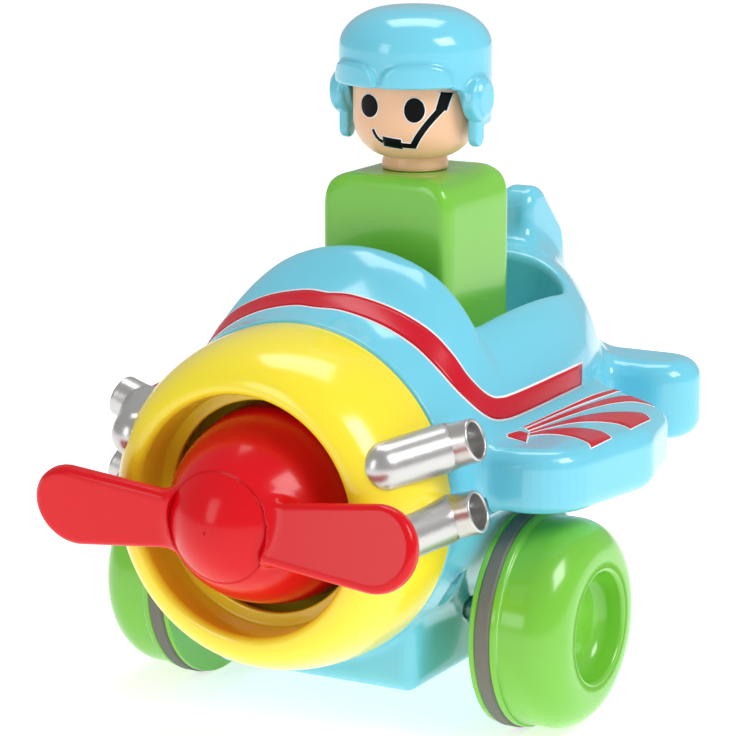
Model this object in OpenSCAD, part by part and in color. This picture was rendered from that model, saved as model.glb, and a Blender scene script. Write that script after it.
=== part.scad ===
// Press-and-go toy airplane. Millimetres, +Z up, nose towards -Y, the pilot's left is +X.
// The wheels stand on z = 0 and x = 0 is the centre plane. Press the pilot down and let go:
// the return spring lifts the pilot, whose rack turns the gear train and the front axle.

/* [Wheels] */
// Radius of the two front wheels at their traction bands
wheel_r = 27.5; // [26:0.5:28]
// Distance from the centre plane to a front wheel's inner face
wheel_in = 43.2; // [43:0.1:44]
// Distance from the centre plane to a front wheel's outer face
wheel_out = 66; // [64:0.5:68]
// Front axle, distance behind the frame's centre
axle_y = -16.5; // [-17:0.5:-16]
// Radius of the tail wheel
tail_wheel_r = 9.5; // [9:0.5:10]
// Tail wheel axle, distance behind the frame's centre
tail_wheel_y = 44; // [42:1:46]

/* [Nose] */
// Height of the propeller shaft
prop_z = 61.2; // [60:0.1:62]
// Front tip of the spinner
nose_y = -94; // [-95:0.5:-93]
// Front lip of the cowl
cowl_front_y = -78; // [-79:0.5:-77]
// Joint between the cowl and the fuselage
cowl_rear_y = -50.5; // [-51:0.5:-50]
// Radius of the cowl at its rear edge
cowl_r = 42.3; // [41:0.1:43]
// Radius of the cowl's open mouth
cowl_mouth_r = 29.5; // [28:0.5:31]
// Radius of the spinner where it is widest
spinner_r = 25; // [24:0.5:25.5]
// Propeller radius, from the shaft to a blade's tip
blade_r = 52; // [48:1:54]

/* [Pilot] */
// Width of the pilot's body block
pilot_w = 38.6; // [37:0.2:40]
// Depth of the pilot's body block
pilot_d = 35.8; // [34:0.2:36]
// Height of the pilot's shoulders
pilot_top = 133.5; // [130:0.5:136]
// Middle of the pilot, distance behind the frame's centre
pilot_y = 10.4; // [10:0.1:11]
// How far the pilot can be pressed down
press_travel = 23; // [20:1:23]

/* [Wings and tail] */
// Underside of the wing
wing_z = 58.4; // [57:0.2:60]
// Thickness of the wing
wing_t = 16; // [14:0.5:17]
// Top of the fin
fin_top = 120.4; // [116:0.2:122]
// Thickness of the fin
fin_t = 10.4; // [8:0.4:11]
// Half the span of the tailplane
tail_span = 54; // [50:1:56]

/* [Gears] */
// Module of every gear
gear_m = 0.8; // [0.8:0.1:0.8]
// Teeth of the drive gear's small pinion, which the rack turns
rack_pinion_n = 10; // [10:1:10]
// Teeth of the drive gear's large wheel
drive_n = 34; // [34:1:34]
// Teeth of the swing pinion
swing_n = 10; // [10:1:10]
// Teeth of the axle's driven gear
axle_n = 10; // [10:1:10]
// Teeth of the axle's gear for the propeller drive
axle_prop_n = 12; // [12:1:12]
// Teeth of the propeller drive's idler
idler_n = 36; // [36:1:36]
// Teeth of the cross shaft's gear
cross_n = 16; // [16:1:16]
// Teeth of the crown pinion
crown_pinion_n = 12; // [12:1:12]
// Teeth of the crown gear on the propeller shaft
crown_n = 16; // [16:1:16]

/* [Hidden] */
$fn = 64;

sky = "#8fd2e2";
sun = "#f3e13a";
cherry = "#cf1f2b";
leaf = "#79c143";
steel = "#b9bcc0";
nylon = "#efe9da";
clear = 0.3;              // gap between parts that slide past each other
fit = 0.05;               // radial clearance of a running fit
wall = 2.2;               // thickness of the moulded shells
axle_z = wheel_r;
band_w = 4;               // width of a traction band
lip_w = 1.6;              // width of the flanges on both sides of the band
shaft_r = 2.5;            // radius of the front axle and the propeller shaft
pin_r = 1.5;              // radius of the small steel pins
tail_z = 55.8;            // underside of the tailplane
tail_t = 21.4;
belly_w = 59;
belly_z = 12;
split_z = 62.2;           // plane where the upper and lower shells meet
cockpit_floor = 88;
flange_top = 78.5;        // top of the plunger's flange at rest
flange_t = 4;
spring_y = 12;
spring_r = 5.5;
spring_base = 16;
spring_top = 73;
spring_wire = 0.6;
spring_turns = 11;
rack_y = -13;             // pitch line of the rack
head_y = 9.5;             // middle of the head and helmet
plate_x = 12.8;           // inner faces of the gearbox plates
plate_t = 2;

function pitch_r(n) = n * gear_m / 2;
drive_y = rack_y - pitch_r(rack_pinion_n);
drive_z = 44.5;
cross_y = -36;
cross_z = prop_z;
crown_face_y = cross_y - pitch_r(crown_pinion_n);

// Place of the third corner of a triangle with sides a from p and b from q, on the left of p to q
function corner(p, q, a, b) =
    let (d = norm(q - p), u = (q - p) / d, s = (a * a - b * b + d * d) / (2 * d), h = sqrt(a * a - s * s))
    p + s * u + h * [-u[1], u[0]];
axle_yz = [axle_y, axle_z];
drive_yz = [drive_y, drive_z];
cross_yz = [cross_y, cross_z];
idler_yz = corner(axle_yz, cross_yz, pitch_r(axle_prop_n + idler_n), pitch_r(idler_n + cross_n));
swing_reach = pitch_r(axle_n + swing_n);
swing_rest_angle = 193;   // the swing pinion hangs here, clear of the drive gear
swing_yz = axle_yz + swing_reach * [cos(swing_rest_angle), sin(swing_rest_angle)];

// Angle in the y-z plane from point p to point q
function heading(p, q) = atan2(q[1] - p[1], q[0] - p[0]);
// Turn of a gear with n2 teeth, so that it meshes with a gear of n1 teeth turned to a1 in direction h
function meshed(h, n1, a1, n2) = h + 180 + 180 / n2 - (a1 - h) * n1 / n2;

// Fuselage sections: [y, half width, widest height, top, bottom, squareness above, squareness below]
stations = [
    [-50.5, 42.3, 61.2, 103.5, 18.9, 2.0, 2.0],
    [-36, 42.6, 61.2, 103.6, 18.5, 2.05, 2.0],
    [-14, 42.8, 62, 103.6, 18.5, 2.9, 2.0],
    [14, 42.4, 63, 103.6, 20, 3.4, 2.1],
    [34, 40, 64, 104.4, 26, 3.2, 2.2],
    [50, 35, 65, 106, 34, 2.8, 2.2],
    [62, 29, 66.5, 105.5, 42, 2.5, 2.2],
    [74, 22, 68, 102, 50, 2.3, 2.2],
    [84, 16, 70, 96.5, 57, 2.2, 2.2],
    [94, 9, 74, 87, 64, 2.0, 2.0]];

// Smooth value of column c between stations i and i + 1, at share t of the way
function blended(i, c, t) =
    let (last = len(stations) - 1, p0 = stations[max(i - 1, 0)][c], p1 = stations[i][c],
         p2 = stations[i + 1][c], p3 = stations[min(i + 2, last)][c])
    p1 + 0.5 * t * (p2 - p0 + t * (2 * p0 - 5 * p1 + 4 * p2 - p3 + t * (3 * (p1 - p2) + p3 - p0)));
function power(v, n) = sign(v) * pow(abs(v), 2 / n);
// One ring of the fuselage, drawn in by inset all round
function ring(i, t, inset, sides) =
    let (v = [for (c = [0:6]) blended(i, c, t)])
    [for (k = [0:sides - 1])
        let (a = 360 * k / sides, up = sin(a) >= 0, n = up ? v[5] : v[6],
             high = (up ? v[3] - v[2] : v[2] - v[4]) - inset)
        [(v[1] - inset) * power(cos(a), n), v[0], v[2] + high * power(sin(a), n)]];

// Closed skin through a list of rings that all have the same number of points
module skin(rings) {
    sides = len(rings[0]);
    last = len(rings) - 1;
    points = [for (r = rings) each r];
    walls = [for (j = [0:last - 1], k = [0:sides - 1])
        let (a = j * sides + k, b = j * sides + (k + 1) % sides)
        each [[a, b, b + sides], [a, b + sides, a + sides]]];
    front = [for (k = [0:sides - 1]) sides - 1 - k];
    back = [for (k = [0:sides - 1]) last * sides + k];
    polyhedron(points = points, faces = concat(walls, [front, back]));
}

module fuselage(inset, first = 0, last = 8) {
    sides = 40;
    rings = concat(
        [for (i = [first:last], t = [0, 0.5]) ring(i, t, inset, sides)],
        [ring(last, 1, inset, sides)]);
    skin(rings);
}

// Flat slab with rounded edges through round corners [x, y, radius], from height z and t thick
module slab(corners, z, t, soft) {
    hull() {
        for (c = corners) {
            translate([c[0], c[1], z + soft]) cylinder(r = c[2], h = t - 2 * soft, $fn = 32);
            translate([c[0], c[1], z]) cylinder(r = c[2] - soft, h = t, $fn = 32);
            translate([c[0], c[1], z + 0.3 * soft]) cylinder(r = c[2] - 0.3 * soft, h = t - 0.6 * soft, $fn = 32);
        }
    }
}

// Plan outlines of the wings and the tailplane, as round corners [x, y, radius]
wing_corners = [for (s = [-1, 1]) each
    [[s * 51, -20.5, 15.5], [s * 55.5, 2, 15], [s * 50.5, 18, 16], [s * 40, 33, 10.5], [s * 34, -28, 8]]];
tail_corners = [for (s = [-1, 1]) [s * (tail_span - 11), 70, 11]];

module inset_slab(corners, z, t, inset) {
    slab([for (c = corners) [c[0], c[1], c[2] - inset]], z, t, 1);
}

module fin() {
    rotate([90, 0, 90]) translate([0, 0, -fin_t / 2])
        slab([[72.4, fin_top - 6.4, 6.4], [81, 101.5, 9.4], [83.5, 92, 9.6], [75, 88, 9]], 0, fin_t, 2.5);
}

// Windscreen hump: a concave front turned about the propeller shaft, cut to an arch
module hump(inset) {
    crest_y = -23;
    crest_z = 119.2 - inset;
    arch_r = 38.5 - inset;
    reach = crest_y + 5.5 - cowl_rear_y;
    flare = [for (k = [0:8]) let (t = reach * k / 8)
        [41.8 - inset + 0.19 * t + 0.0146 * t * t, t]];
    intersection() {
        rotate([90, 0, 90]) translate([0, 0, -45]) linear_extrude(90)
            polygon([[cowl_rear_y, crest_z], [crest_y + 2.5, crest_z], [crest_y + 5, crest_z - 2],
                [crest_y + 5.5, 60], [cowl_rear_y, 60]]);
        translate([0, 0, crest_z - arch_r]) rotate([90, 0, 0])
            cylinder(r = arch_r, h = 140, center = true, $fn = 96);
        translate([0, cowl_rear_y, prop_z]) rotate([-90, 0, 0]) rotate_extrude($fn = 96)
            polygon(concat([[0, 0]], flare, [[0, reach]]));
    }
}

// Outline of the cockpit opening, grown by extra
module cockpit_plan(extra) {
    hull() {
        for (s = [-1, 1]) {
            translate([s * 19.5, -9.5]) circle(r = 8 + extra, $fn = 48);
            translate([s * 11.5, 36]) circle(r = 16 + extra, $fn = 48);
        }
    }
}

module guide_hole(z, h) {
    translate([-pilot_w / 2 - clear, pilot_y - pilot_d / 2 - clear, z])
        cube([pilot_w + 2 * clear, pilot_d + 2 * clear, h]);
}

// Places of the four screws that join the shells, and of the four under the gearbox
shell_screw_at = [for (s = [-1, 1]) each [[s * 31, 33], [s * 35.3, -38]]];
gearbox_screw_at = [for (s = [-1, 1]) each [[s * 18.6, -36], [s * 18.6, -8]]];

// Everything below the plane where the shells meet
module lower_half() {
    translate([-100, -100, -20]) cube([200, 200, split_z + 20]);
}

// Wings and tailplane as trays that are open below, fitted round the fuselage
module trays() {
    difference() {
        union() {
            slab(wing_corners, wing_z, wing_t, 4);
            slab(tail_corners, tail_z, tail_t, 5);
        }
        inset_slab(wing_corners, wing_z - 5, wing_t + 5 - wall, wall);
        inset_slab(tail_corners, tail_z - 5, tail_t + 5 - wall, wall);
        intersection() {
            fuselage(-0.2);
            lower_half();
        }
        fuselage(wall, 0, 7);
    }
}

module cowl_socket() {
    translate([0, cowl_rear_y - 1, prop_z]) rotate([-90, 0, 0]) cylinder(r = cowl_r - wall, h = 8);
}

module upper_body() {
    difference() {
        union() {
            fuselage(0);
            hump(0);
            fin();
        }
        difference() {
            union() {
                fuselage(wall, 0, 7);
                hump(wall);
            }
            // solid tub walls round the cockpit
            translate([0, 0, cockpit_floor - 2]) linear_extrude(60) cockpit_plan(wall);
        }
        cowl_socket();
    }
}

module upper_shell() {
    color(sky) difference() {
        union() {
            difference() {
                upper_body();
                lower_half();
            }
            trays();
            // guide under the cockpit floor, and the screw posts
            translate([-pilot_w / 2 - 2.5, pilot_y - pilot_d / 2 - 2.5, flange_top + clear])
                cube([pilot_w + 5, pilot_d + 5, cockpit_floor - flange_top - clear]);
            for (p = shell_screw_at)
                translate([p[0], p[1], split_z]) cylinder(r = 3.2, h = p[1] > 0 ? 27 : 18);
        }
        translate([0, 0, cockpit_floor]) linear_extrude(60) cockpit_plan(0);
        guide_hole(flange_top - 5, 40);
        pipe_room();
        for (p = shell_screw_at)
            translate([p[0], p[1], split_z - 1]) cylinder(r = 1.1, h = 15);
    }
}

module belly(inset) {
    w = belly_w - 2 * inset;
    soft = 5 - inset / 2;
    hull() {
        for (s = [-1, 1], y = [-45.5 + inset + soft, 24 - inset - soft])
            translate([s * (w / 2 - soft), y, belly_z + inset]) {
                cylinder(r = soft - 1.5, h = 8, $fn = 32);
                translate([0, 0, 1.5]) cylinder(r = soft, h = 40, $fn = 32);
            }
    }
}

module lower_shell() {
    fork_w = 8.5;
    color(sky) difference() {
        union() {
            difference() {
                union() {
                    fuselage(0);
                    belly(0);
                    inset_slab(wing_corners, wing_z, wall, wall + 0.2);
                    inset_slab(tail_corners, tail_z, wall, wall + 0.2);
                }
                fuselage(wall, 0, 7);
                belly(wall + 0.3);
                cowl_socket();
            }
            // screw wells and the tail wheel's fork
            intersection() {
                union() {
                    for (p = shell_screw_at)
                        translate([p[0], p[1], 14]) cylinder(r = 4.4, h = split_z - 14);
                    translate([-fork_w, tail_wheel_y - 6.5, 5]) cube([2 * fork_w, 13, 33]);
                }
                union() {
                    fuselage(0.5);
                    translate([-fork_w, tail_wheel_y - 6.5, 5]) cube([2 * fork_w, 13, 33]);
                }
            }
            // spring seat and the post inside the spring
            translate([0, spring_y, belly_z + 1]) cylinder(r = spring_r - spring_wire - 0.6, h = 18);
            translate([0, spring_y, belly_z + 1]) cylinder(r = 9, h = spring_base - belly_z - 1);
        }
        translate([-100, -100, split_z]) cube([200, 200, 100]);
        pipe_room();
        // axle holes, tail wheel slot and pin hole, screw holes
        along_x(axle_yz, -60, 60, 3);
        along_x([tail_wheel_y, tail_wheel_r], -5.6, 5.6, tail_wheel_r + 1.5);
        along_x([tail_wheel_y, tail_wheel_r], -15, 15, pin_r);
        for (p = shell_screw_at) {
            translate([p[0], p[1], 10]) cylinder(r = 2.9, h = 40);
            translate([p[0], p[1], 40]) cylinder(r = 1.6, h = 40);
        }
        for (p = gearbox_screw_at) {
            translate([p[0], p[1], belly_z - 1]) cylinder(r = 1.5, h = 6);
            translate([p[0], p[1], belly_z - 1]) cylinder(r = 2.6, h = 2.2);
        }
    }
}

// Half section of the cowl, [radius, distance along the shaft from the rear edge]
module cowl() {
    depth = cowl_rear_y - cowl_front_y;
    bulge = [for (a = [0:10:90])
        [cowl_mouth_r + 4 + (cowl_r - cowl_mouth_r - 4) * sin(90 - a), depth * (0.04 + 0.9 * sin(a))]];
    color(sun) translate([0, cowl_rear_y, prop_z]) rotate([90, 0, 0]) difference() {
        union() {
            rotate_extrude($fn = 96) polygon(concat(
                [[cowl_r - wall, 0], [cowl_r, 0]], bulge,
                [[cowl_mouth_r + 3, depth - 0.4], [cowl_mouth_r + 1.5, depth],
                 [cowl_mouth_r + 0.4, depth - 0.5], [cowl_mouth_r, depth - 1.8], [cowl_mouth_r, 16],
                 [26.2, 16], [26.2, 14], [cowl_r - 5.5, 14], [cowl_r - 4.6, 9], [cowl_r - wall - 0.6, 4]]));
            for (a = [90, 210, 330]) rotate(a) translate([33.5, 0, 3]) cylinder(r = 2.8, h = 12, $fn = 24);
        }
        for (a = [90, 210, 330]) rotate(a) translate([33.5, 0, 2]) cylinder(r = 1.1, h = 10, $fn = 24);
    }
}

module engine_bulkhead() {
    color("#d9c62f") translate([0, cowl_rear_y, prop_z]) rotate([90, 0, 0]) difference() {
        union() {
            translate([0, 0, 0.2]) cylinder(r = cowl_r - wall - 0.3, h = 2.4, $fn = 96);
            translate([0, 0, -2.5]) cylinder(r = 7, h = 5.5);
        }
        translate([0, 0, -4]) cylinder(r = 4, h = 8);
        for (a = [90, 210, 330]) rotate(a) translate([33.5, 0, -1]) cylinder(r = 1.6, h = 5);
        // flats beside the exhausts
        for (s = [-1, 1]) translate([s > 0 ? 36 : -56, -30, -1]) cube([20, 60, 5]);
    }
}

module prop_bush() {
    color(nylon) translate([0, cowl_rear_y, prop_z]) rotate([90, 0, 0]) difference() {
        union() {
            translate([0, 0, -2.5]) cylinder(r = 4, h = 5.7);
            translate([0, 0, -3.3]) cylinder(r = 5.5, h = 0.8);
        }
        translate([0, 0, -4]) cylinder(r = shaft_r + fit, h = 8);
    }
}

function unit(v) = v / norm(v);
// Ring of points round centre c, square to direction d
function hoop(c, d, r, sides) =
    let (u = unit(cross(d, [0, 0, 1])), v = cross(u, d))
    [for (k = [0:sides - 1]) let (a = 360 * k / sides) c + r * (u * cos(a) + v * sin(a))];

// Rings of a bent exhaust stub, grown by extra: a round base, a run along the cowl, and an elbow
function pipe_rings(path, extra) =
    let (base = path[0], knee = path[1], tip = path[2], start = unit(knee - base), end = unit(tip - knee),
         r = pipe_r + extra)
    concat([for (a = [15, 40, 65, 90]) hoop(base - start * r * cos(a), start, r * sin(a), 24)],
        [hoop(knee - start * 2, start, r, 24), hoop(knee, unit(start + end), r, 24),
         hoop(knee + end * 2, end, mouth_r + 0.2 + extra, 24), hoop(tip + end * extra, end, mouth_r + extra, 24)]);

module exhaust(s, path) {
    end = unit(path[2] - path[1]);
    color(steel) mirror([s < 0 ? 1 : 0, 0, 0])
        skin(concat(pipe_rings(path, 0),
            [hoop(path[2], end, bore_r, 24), hoop(path[1] + end, end, bore_r, 24)]));
}

// Room for the four exhausts in the shells
module pipe_room() {
    for (s = [0, 1], path = [upper_pipe, lower_pipe]) mirror([s, 0, 0]) skin(pipe_rings(path, clear));
}

pipe_r = 5.95;
mouth_r = 5.25;
bore_r = 4.35;
upper_pipe = [[34.3, -70, 76.1], [42.3, -53, 78.2], [49.7, -52.5, 80.7]];
lower_pipe = [[37.4, -70, 59], [42.5, -53, 60.8], [50.5, -52.5, 63.4]];
module exhaust_left_upper() { exhaust(1, upper_pipe); }
module exhaust_left_lower() { exhaust(1, lower_pipe); }
module exhaust_right_upper() { exhaust(-1, upper_pipe); }
module exhaust_right_lower() { exhaust(-1, lower_pipe); }

// Cylinder along X, centred at [y, z], from x0 to x1
module along_x(yz, x0, x1, r) {
    translate([x0, yz[0], yz[1]]) rotate([0, 90, 0]) cylinder(r = r, h = x1 - x0);
}

gearbox_posts = [[-39.5, 25.5], [-5, 25.5], [-26, 64]];
module gearbox_plate(s) {
    difference() {
        union() {
            translate([s > 0 ? plate_x : -plate_x - plate_t, 0, 0]) rotate([90, 0, 90])
                linear_extrude(plate_t) polygon([[-42.5, belly_z + 2.7], [-1.5, belly_z + 2.7], [-1.5, 30],
                    [-8, 49.5], [-22, 67], [-42.5, 67]]);
            for (p = gearbox_screw_at) if (p[0] * s > 0)
                translate([s > 0 ? plate_x + plate_t : -plate_x - plate_t - 7, p[1] - 4, belly_z + 2.7])
                    cube([7, 8, 8]);
            along_x(axle_yz, s > 0 ? plate_x + plate_t : -plate_x - plate_t - 3,
                s > 0 ? plate_x + plate_t + 3 : -plate_x - plate_t, 6);
        }
        along_x(axle_yz, -30, 30, 4);
        if (s > 0) along_x(drive_yz, 0, 30, pin_r);
        along_x(cross_yz, -30, 30, 2 + fit);
        if (s < 0) along_x(idler_yz, -30, 0, pin_r);
        for (q = gearbox_posts) along_x(q, -30, 30, 1.6);
        for (p = gearbox_screw_at)
            translate([p[0], p[1], belly_z]) cylinder(r = 1.1, h = 12);
    }
}
module gearbox_plate_left() { color(nylon) gearbox_plate(1); }
module gearbox_plate_right() { color(nylon) gearbox_plate(-1); }

module gearbox_spacers() {
    color(steel) for (q = gearbox_posts) {
        along_x(q, -plate_x, plate_x, 2.6);
        along_x(q, -plate_x - plate_t, plate_x + plate_t, 1.6);
        for (s = [-1, 1]) along_x(q, s > 0 ? plate_x + plate_t : -plate_x - plate_t - 1,
            s > 0 ? plate_x + plate_t + 1 : -plate_x - plate_t, 2.6);
    }
}

module drive_gear_pin() {
    color(steel) {
        along_x(drive_yz, -5, plate_x + plate_t, pin_r);
        along_x(drive_yz, -5.8, -5, pin_r + 1);
    }
}

module idler_pin() {
    color(steel) {
        along_x(idler_yz, -plate_x - plate_t, -8.2, pin_r);
        along_x(idler_yz, -8.2, -7.4, pin_r + 1);
    }
}

// Carrier that holds the swing pinion and turns about the axle
module swing_arm() {
    inner = 10.4;
    outer = 12.3;
    color(nylon) difference() {
        union() {
            along_x(axle_yz, inner, outer, 4.4);
            along_x(swing_yz, inner, outer, 3.4);
            translate([inner, 0, 0]) rotate([90, 0, 90]) linear_extrude(outer - inner) polygon([
                axle_yz + [0, 3.4], axle_yz + [0, -3.4], swing_yz + [0, -3], swing_yz + [0, 3]]);
            along_x(swing_yz, 4.6, inner, pin_r);
        }
        along_x(axle_yz, 0, 20, shaft_r + fit);
    }
}

module axle_bushes() {
    color(nylon) for (s = [-1, 1]) difference() {
        union() {
            along_x(axle_yz, s > 0 ? plate_x : -plate_x - plate_t - 3, s > 0 ? plate_x + plate_t + 3 : -plate_x, 4);
            along_x(axle_yz, s > 0 ? plate_x + plate_t + 3 : -plate_x - plate_t - 4,
                s > 0 ? plate_x + plate_t + 4 : -plate_x - plate_t - 3, 5.4);
        }
        along_x(axle_yz, -30, 30, shaft_r + fit);
    }
}

// Pan-head screw with its head's seat at the origin and its point towards +Z
module screw(length, shank_r, head_r) {
    difference() {
        union() {
            translate([0, 0, -1.4]) cylinder(r = head_r, h = 1.4, $fn = 32);
            cylinder(r = shank_r, h = length, $fn = 32);
        }
        for (a = [0, 90]) rotate(a) translate([-0.3, -head_r * 0.6, -1.5]) cube([0.6, head_r * 1.2, 0.8]);
    }
}

module gearbox_screws() {
    color(steel) for (p = gearbox_screw_at)
        translate([p[0], p[1], belly_z + 1.2]) screw(8.5, 1.05, 2.4);
}

module shell_screws() {
    color(steel) for (p = shell_screw_at)
        translate([p[0], p[1], 50]) screw(24, 1.05, 2.5);
}

module cowl_screws() {
    color(steel) translate([0, cowl_rear_y - 0.2, prop_z]) rotate([90, 0, 0])
        for (a = [90, 210, 330]) rotate(a) translate([33.5, 0, 0]) screw(10, 1.05, 2.5);
}

module tail_wheel_pin() {
    color(steel) along_x([tail_wheel_y, tail_wheel_r], -8.5, 8.5, pin_r);
}

module pilot_body() {
    soft = 4.5;
    x = pilot_w / 2;
    y = pilot_d / 2;
    color(leaf) translate([0, pilot_y, 0]) difference() {
        union() {
            difference() {
                hull() {
                    for (sx = [-1, 1], sy = [-1, 1]) {
                        translate([sx * (x - soft), sy * (y - soft), flange_top])
                            cylinder(r = soft, h = 20, $fn = 24);
                        translate([sx * (x - 8), sy * (y - soft - 1), pilot_top - soft]) sphere(r = soft, $fn = 24);
                        translate([sx * (x - soft), sy * (y - soft), pilot_top - 9]) sphere(r = soft, $fn = 24);
                    }
                }
                translate([-x + wall, -y + wall, flange_top - 1]) cube([pilot_w - 2 * wall, pilot_d - 2 * wall, 48]);
            }
            for (s = [-1, 1]) translate([s * 11, 0, flange_top + 6]) cylinder(r = 3, h = 44);
        }
        for (s = [-1, 1]) translate([s * 11, 0, flange_top]) cylinder(r = 1.1, h = 20);
        translate([0, head_y - pilot_y, pilot_top - 10]) cylinder(r = 4, h = 20);
    }
}

module pilot_head() {
    base = pilot_top + 0.1;
    face = [for (a = [0:15:90]) [6.5 + 9.4 * sin(a), base + 13.5 - 10.4 * cos(a)]];
    color("#eab88f") translate([0, head_y, 0]) {
        rotate_extrude() polygon(concat([[0, base - 0.1], [8.2, base - 0.1], [8.5, base + 1], [8.2, base + 3.1]],
            face, [[15.9, base + 27], [13.5, base + 33], [0, base + 36]]));
        translate([0, 0, base - 8]) cylinder(r = 3.9, h = 8.5);
    }
}

module pilot_helmet() {
    brow = 156;
    top = 176;
    r = 19.5;
    ear_y = -2.3;
    crown = [for (a = [0:10:90]) [r - 11 + 11 * cos(a), top - 13 + 13 * sin(a)]];
    inner = [for (a = [90:-15:0]) [r - 12.4 + 10 * cos(a), top - 14.4 + 12 * sin(a)]];
    color(sky) translate([0, head_y, 0]) {
        difference() {
            rotate_extrude() polygon(concat([[r, 143]], crown, [[0, top], [0, top - 2.4]], inner, [[r - 2.4, 143]]));
            // the face is open below the brow, and the sides hang down to the jaw
            translate([-30, -40, 130]) cube([60, 40 - 4.5, brow - 130]);
            translate([-30, 11, 130]) cube([60, 40, 17]);
        }
        for (s = [-1, 1]) translate([s * (r - 1.3), ear_y, 152.6]) rotate([0, s * 90, 0]) {
            cylinder(r = 5.8, h = 2.8, $fn = 48);
            cylinder(r = 4.6, h = 3.7, $fn = 48);
        }
        for (s = [-1, 1]) hull() {
            translate([s * (r - 0.4), ear_y, 148]) rotate([0, 90, 0]) cylinder(r = 2.5, h = 1.8, center = true, $fn = 24);
            translate([s * (r - 0.4), ear_y, 142.4]) rotate([0, 90, 0]) cylinder(r = 2, h = 1.8, center = true, $fn = 24);
        }
    }
}

// Sliding carrier under the pilot: flange, spring cup, and the rack in front
module plunger() {
    flange_z = flange_top - flange_t;
    tooth_pitch = PI * gear_m;
    rack_low = drive_z - 4.5;
    color(nylon) difference() {
        union() {
            translate([-20.8, -2.4, flange_z]) cube([41.6, 29.4, flange_t - 0.1]);
            translate([-15.8, -2.4, flange_z]) cube([31.6, 24.8, flange_t + 5.5]);
            translate([0, spring_y, spring_top - 7]) cylinder(r = 8.6, h = flange_z - spring_top + 8);
            translate([-4.4, rack_y + 0.8, flange_z]) cube([7.8, 14, flange_t - 0.1]);
            translate([-3.4, rack_y + 0.9, rack_low]) cube([6.8, 4, flange_z - rack_low + 1]);
            // rack teeth on the front face
            for (k = [0:13]) translate([-3.4, 0, rack_phase_z + k * tooth_pitch]) rotate([90, 0, 90])
                linear_extrude(6.8) polygon([[rack_y + 1, -0.75], [rack_y + 1, 0.75], [rack_y - 0.7, 0.24],
                    [rack_y - 0.7, -0.24]]);
        }
        translate([0, spring_y, spring_top - 8]) cylinder(r = spring_r + spring_wire + 0.4, h = 8);
        for (s = [-1, 1]) translate([s * 11, pilot_y, flange_z - 1]) {
            cylinder(r = 1.5, h = 20);
            cylinder(r = 2.6, h = 2.6);
        }
    }
}
// The rack pinion has a tooth straight at the rack, so a gap of the rack lies at its height
rack_phase_z = drive_z + PI * gear_m / 2 - PI * gear_m;

module plunger_screws() {
    color(steel) for (s = [-1, 1])
        translate([s * 11, pilot_y, flange_top - flange_t + 1.6]) screw(14, 1.05, 2.4);
}

// Coil spring as one swept tube
module return_spring() {
    around = 6;
    per_turn = 16;
    steps = spring_turns * per_turn;
    rise = (spring_top - spring_base - 2 * spring_wire) / steps;
    rings = [for (j = [0:steps]) let (a = 360 * j / per_turn)
        [for (k = [0:around - 1]) let (b = 360 * k / around, r = spring_r + spring_wire * cos(b))
            [r * cos(a), spring_y + r * sin(a), spring_base + spring_wire + j * rise + spring_wire * sin(b)]]];
    color(steel) skin(rings);
}

// Spur gear outline with n teeth, one of them turned to angle a
module gear_outline(n, a) {
    r = pitch_r(n);
    root = r - 0.95 * gear_m;
    tip = r + 0.85 * gear_m;
    half_root = 0.95 * gear_m;
    half_pitch = 0.52 * gear_m;
    half_tip = 0.24 * gear_m;
    rotate(a) union() {
        circle(r = root, $fn = 64);
        for (k = [0:n - 1]) rotate(k * 360 / n)
            polygon([[root - 0.3, -half_root], [r, -half_pitch], [tip, -half_tip],
                [tip, half_tip], [r, half_pitch], [root - 0.3, half_root]]);
    }
}

// Spur gear across the axis X at [y, z], from x0 to x1, with a round bore
module spur(n, a, yz, x0, x1, bore) {
    difference() {
        translate([x0, yz[0], yz[1]]) rotate([90, 0, 90]) linear_extrude(x1 - x0) gear_outline(n, a);
        along_x(yz, x0 - 1, x1 + 1, bore);
    }
}

// Turns of the gears, so that every pair is in mesh at rest
axle_turn = heading(axle_yz, swing_yz);
swing_turn = meshed(heading(axle_yz, swing_yz), axle_n, axle_turn, swing_n);
axle_prop_turn = heading(axle_yz, idler_yz);
idler_turn = meshed(heading(axle_yz, idler_yz), axle_prop_n, axle_prop_turn, idler_n);
cross_turn = meshed(heading(idler_yz, cross_yz), idler_n, idler_turn, cross_n);
crown_pinion_turn = 180;

module drive_gear() {
    color("#e8743b") {
        spur(rack_pinion_n, 0, drive_yz, -3.8, 4.4, pin_r + fit);
        spur(drive_n, 0, drive_yz, 4.4, 6.9, pin_r + fit);
        difference() {
            along_x(drive_yz, 6.9, 12.6, 2.8);
            along_x(drive_yz, -30, 30, pin_r + fit);
        }
    }
}

module swing_pinion() { color("#e8743b") spur(swing_n, swing_turn, swing_yz, 4.6, 10, pin_r + fit); }
module axle() { color(steel) along_x(axle_yz, -wheel_out + 9, wheel_out - 9, shaft_r); }
module axle_gear() { color("#4a4d52") spur(axle_n, axle_turn, axle_yz, 7.4, 10, shaft_r); }
module axle_prop_gear() { color("#4a4d52") spur(axle_prop_n, axle_prop_turn, axle_yz, -12.4, -8.4, shaft_r); }
module prop_idler() { color("#e8743b") spur(idler_n, idler_turn, idler_yz, -12.2, -8.6, pin_r + fit); }

module cross_shaft() {
    color("#4a4d52") {
        along_x(cross_yz, -14.6, 14.6, 2);
        spur(cross_n, cross_turn, cross_yz, -12.4, -8.4, 1.9);
        spur(crown_pinion_n, crown_pinion_turn, cross_yz, pitch_r(crown_n) - 1.2, pitch_r(crown_n) + 1.2, 1.9);
    }
}

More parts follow.
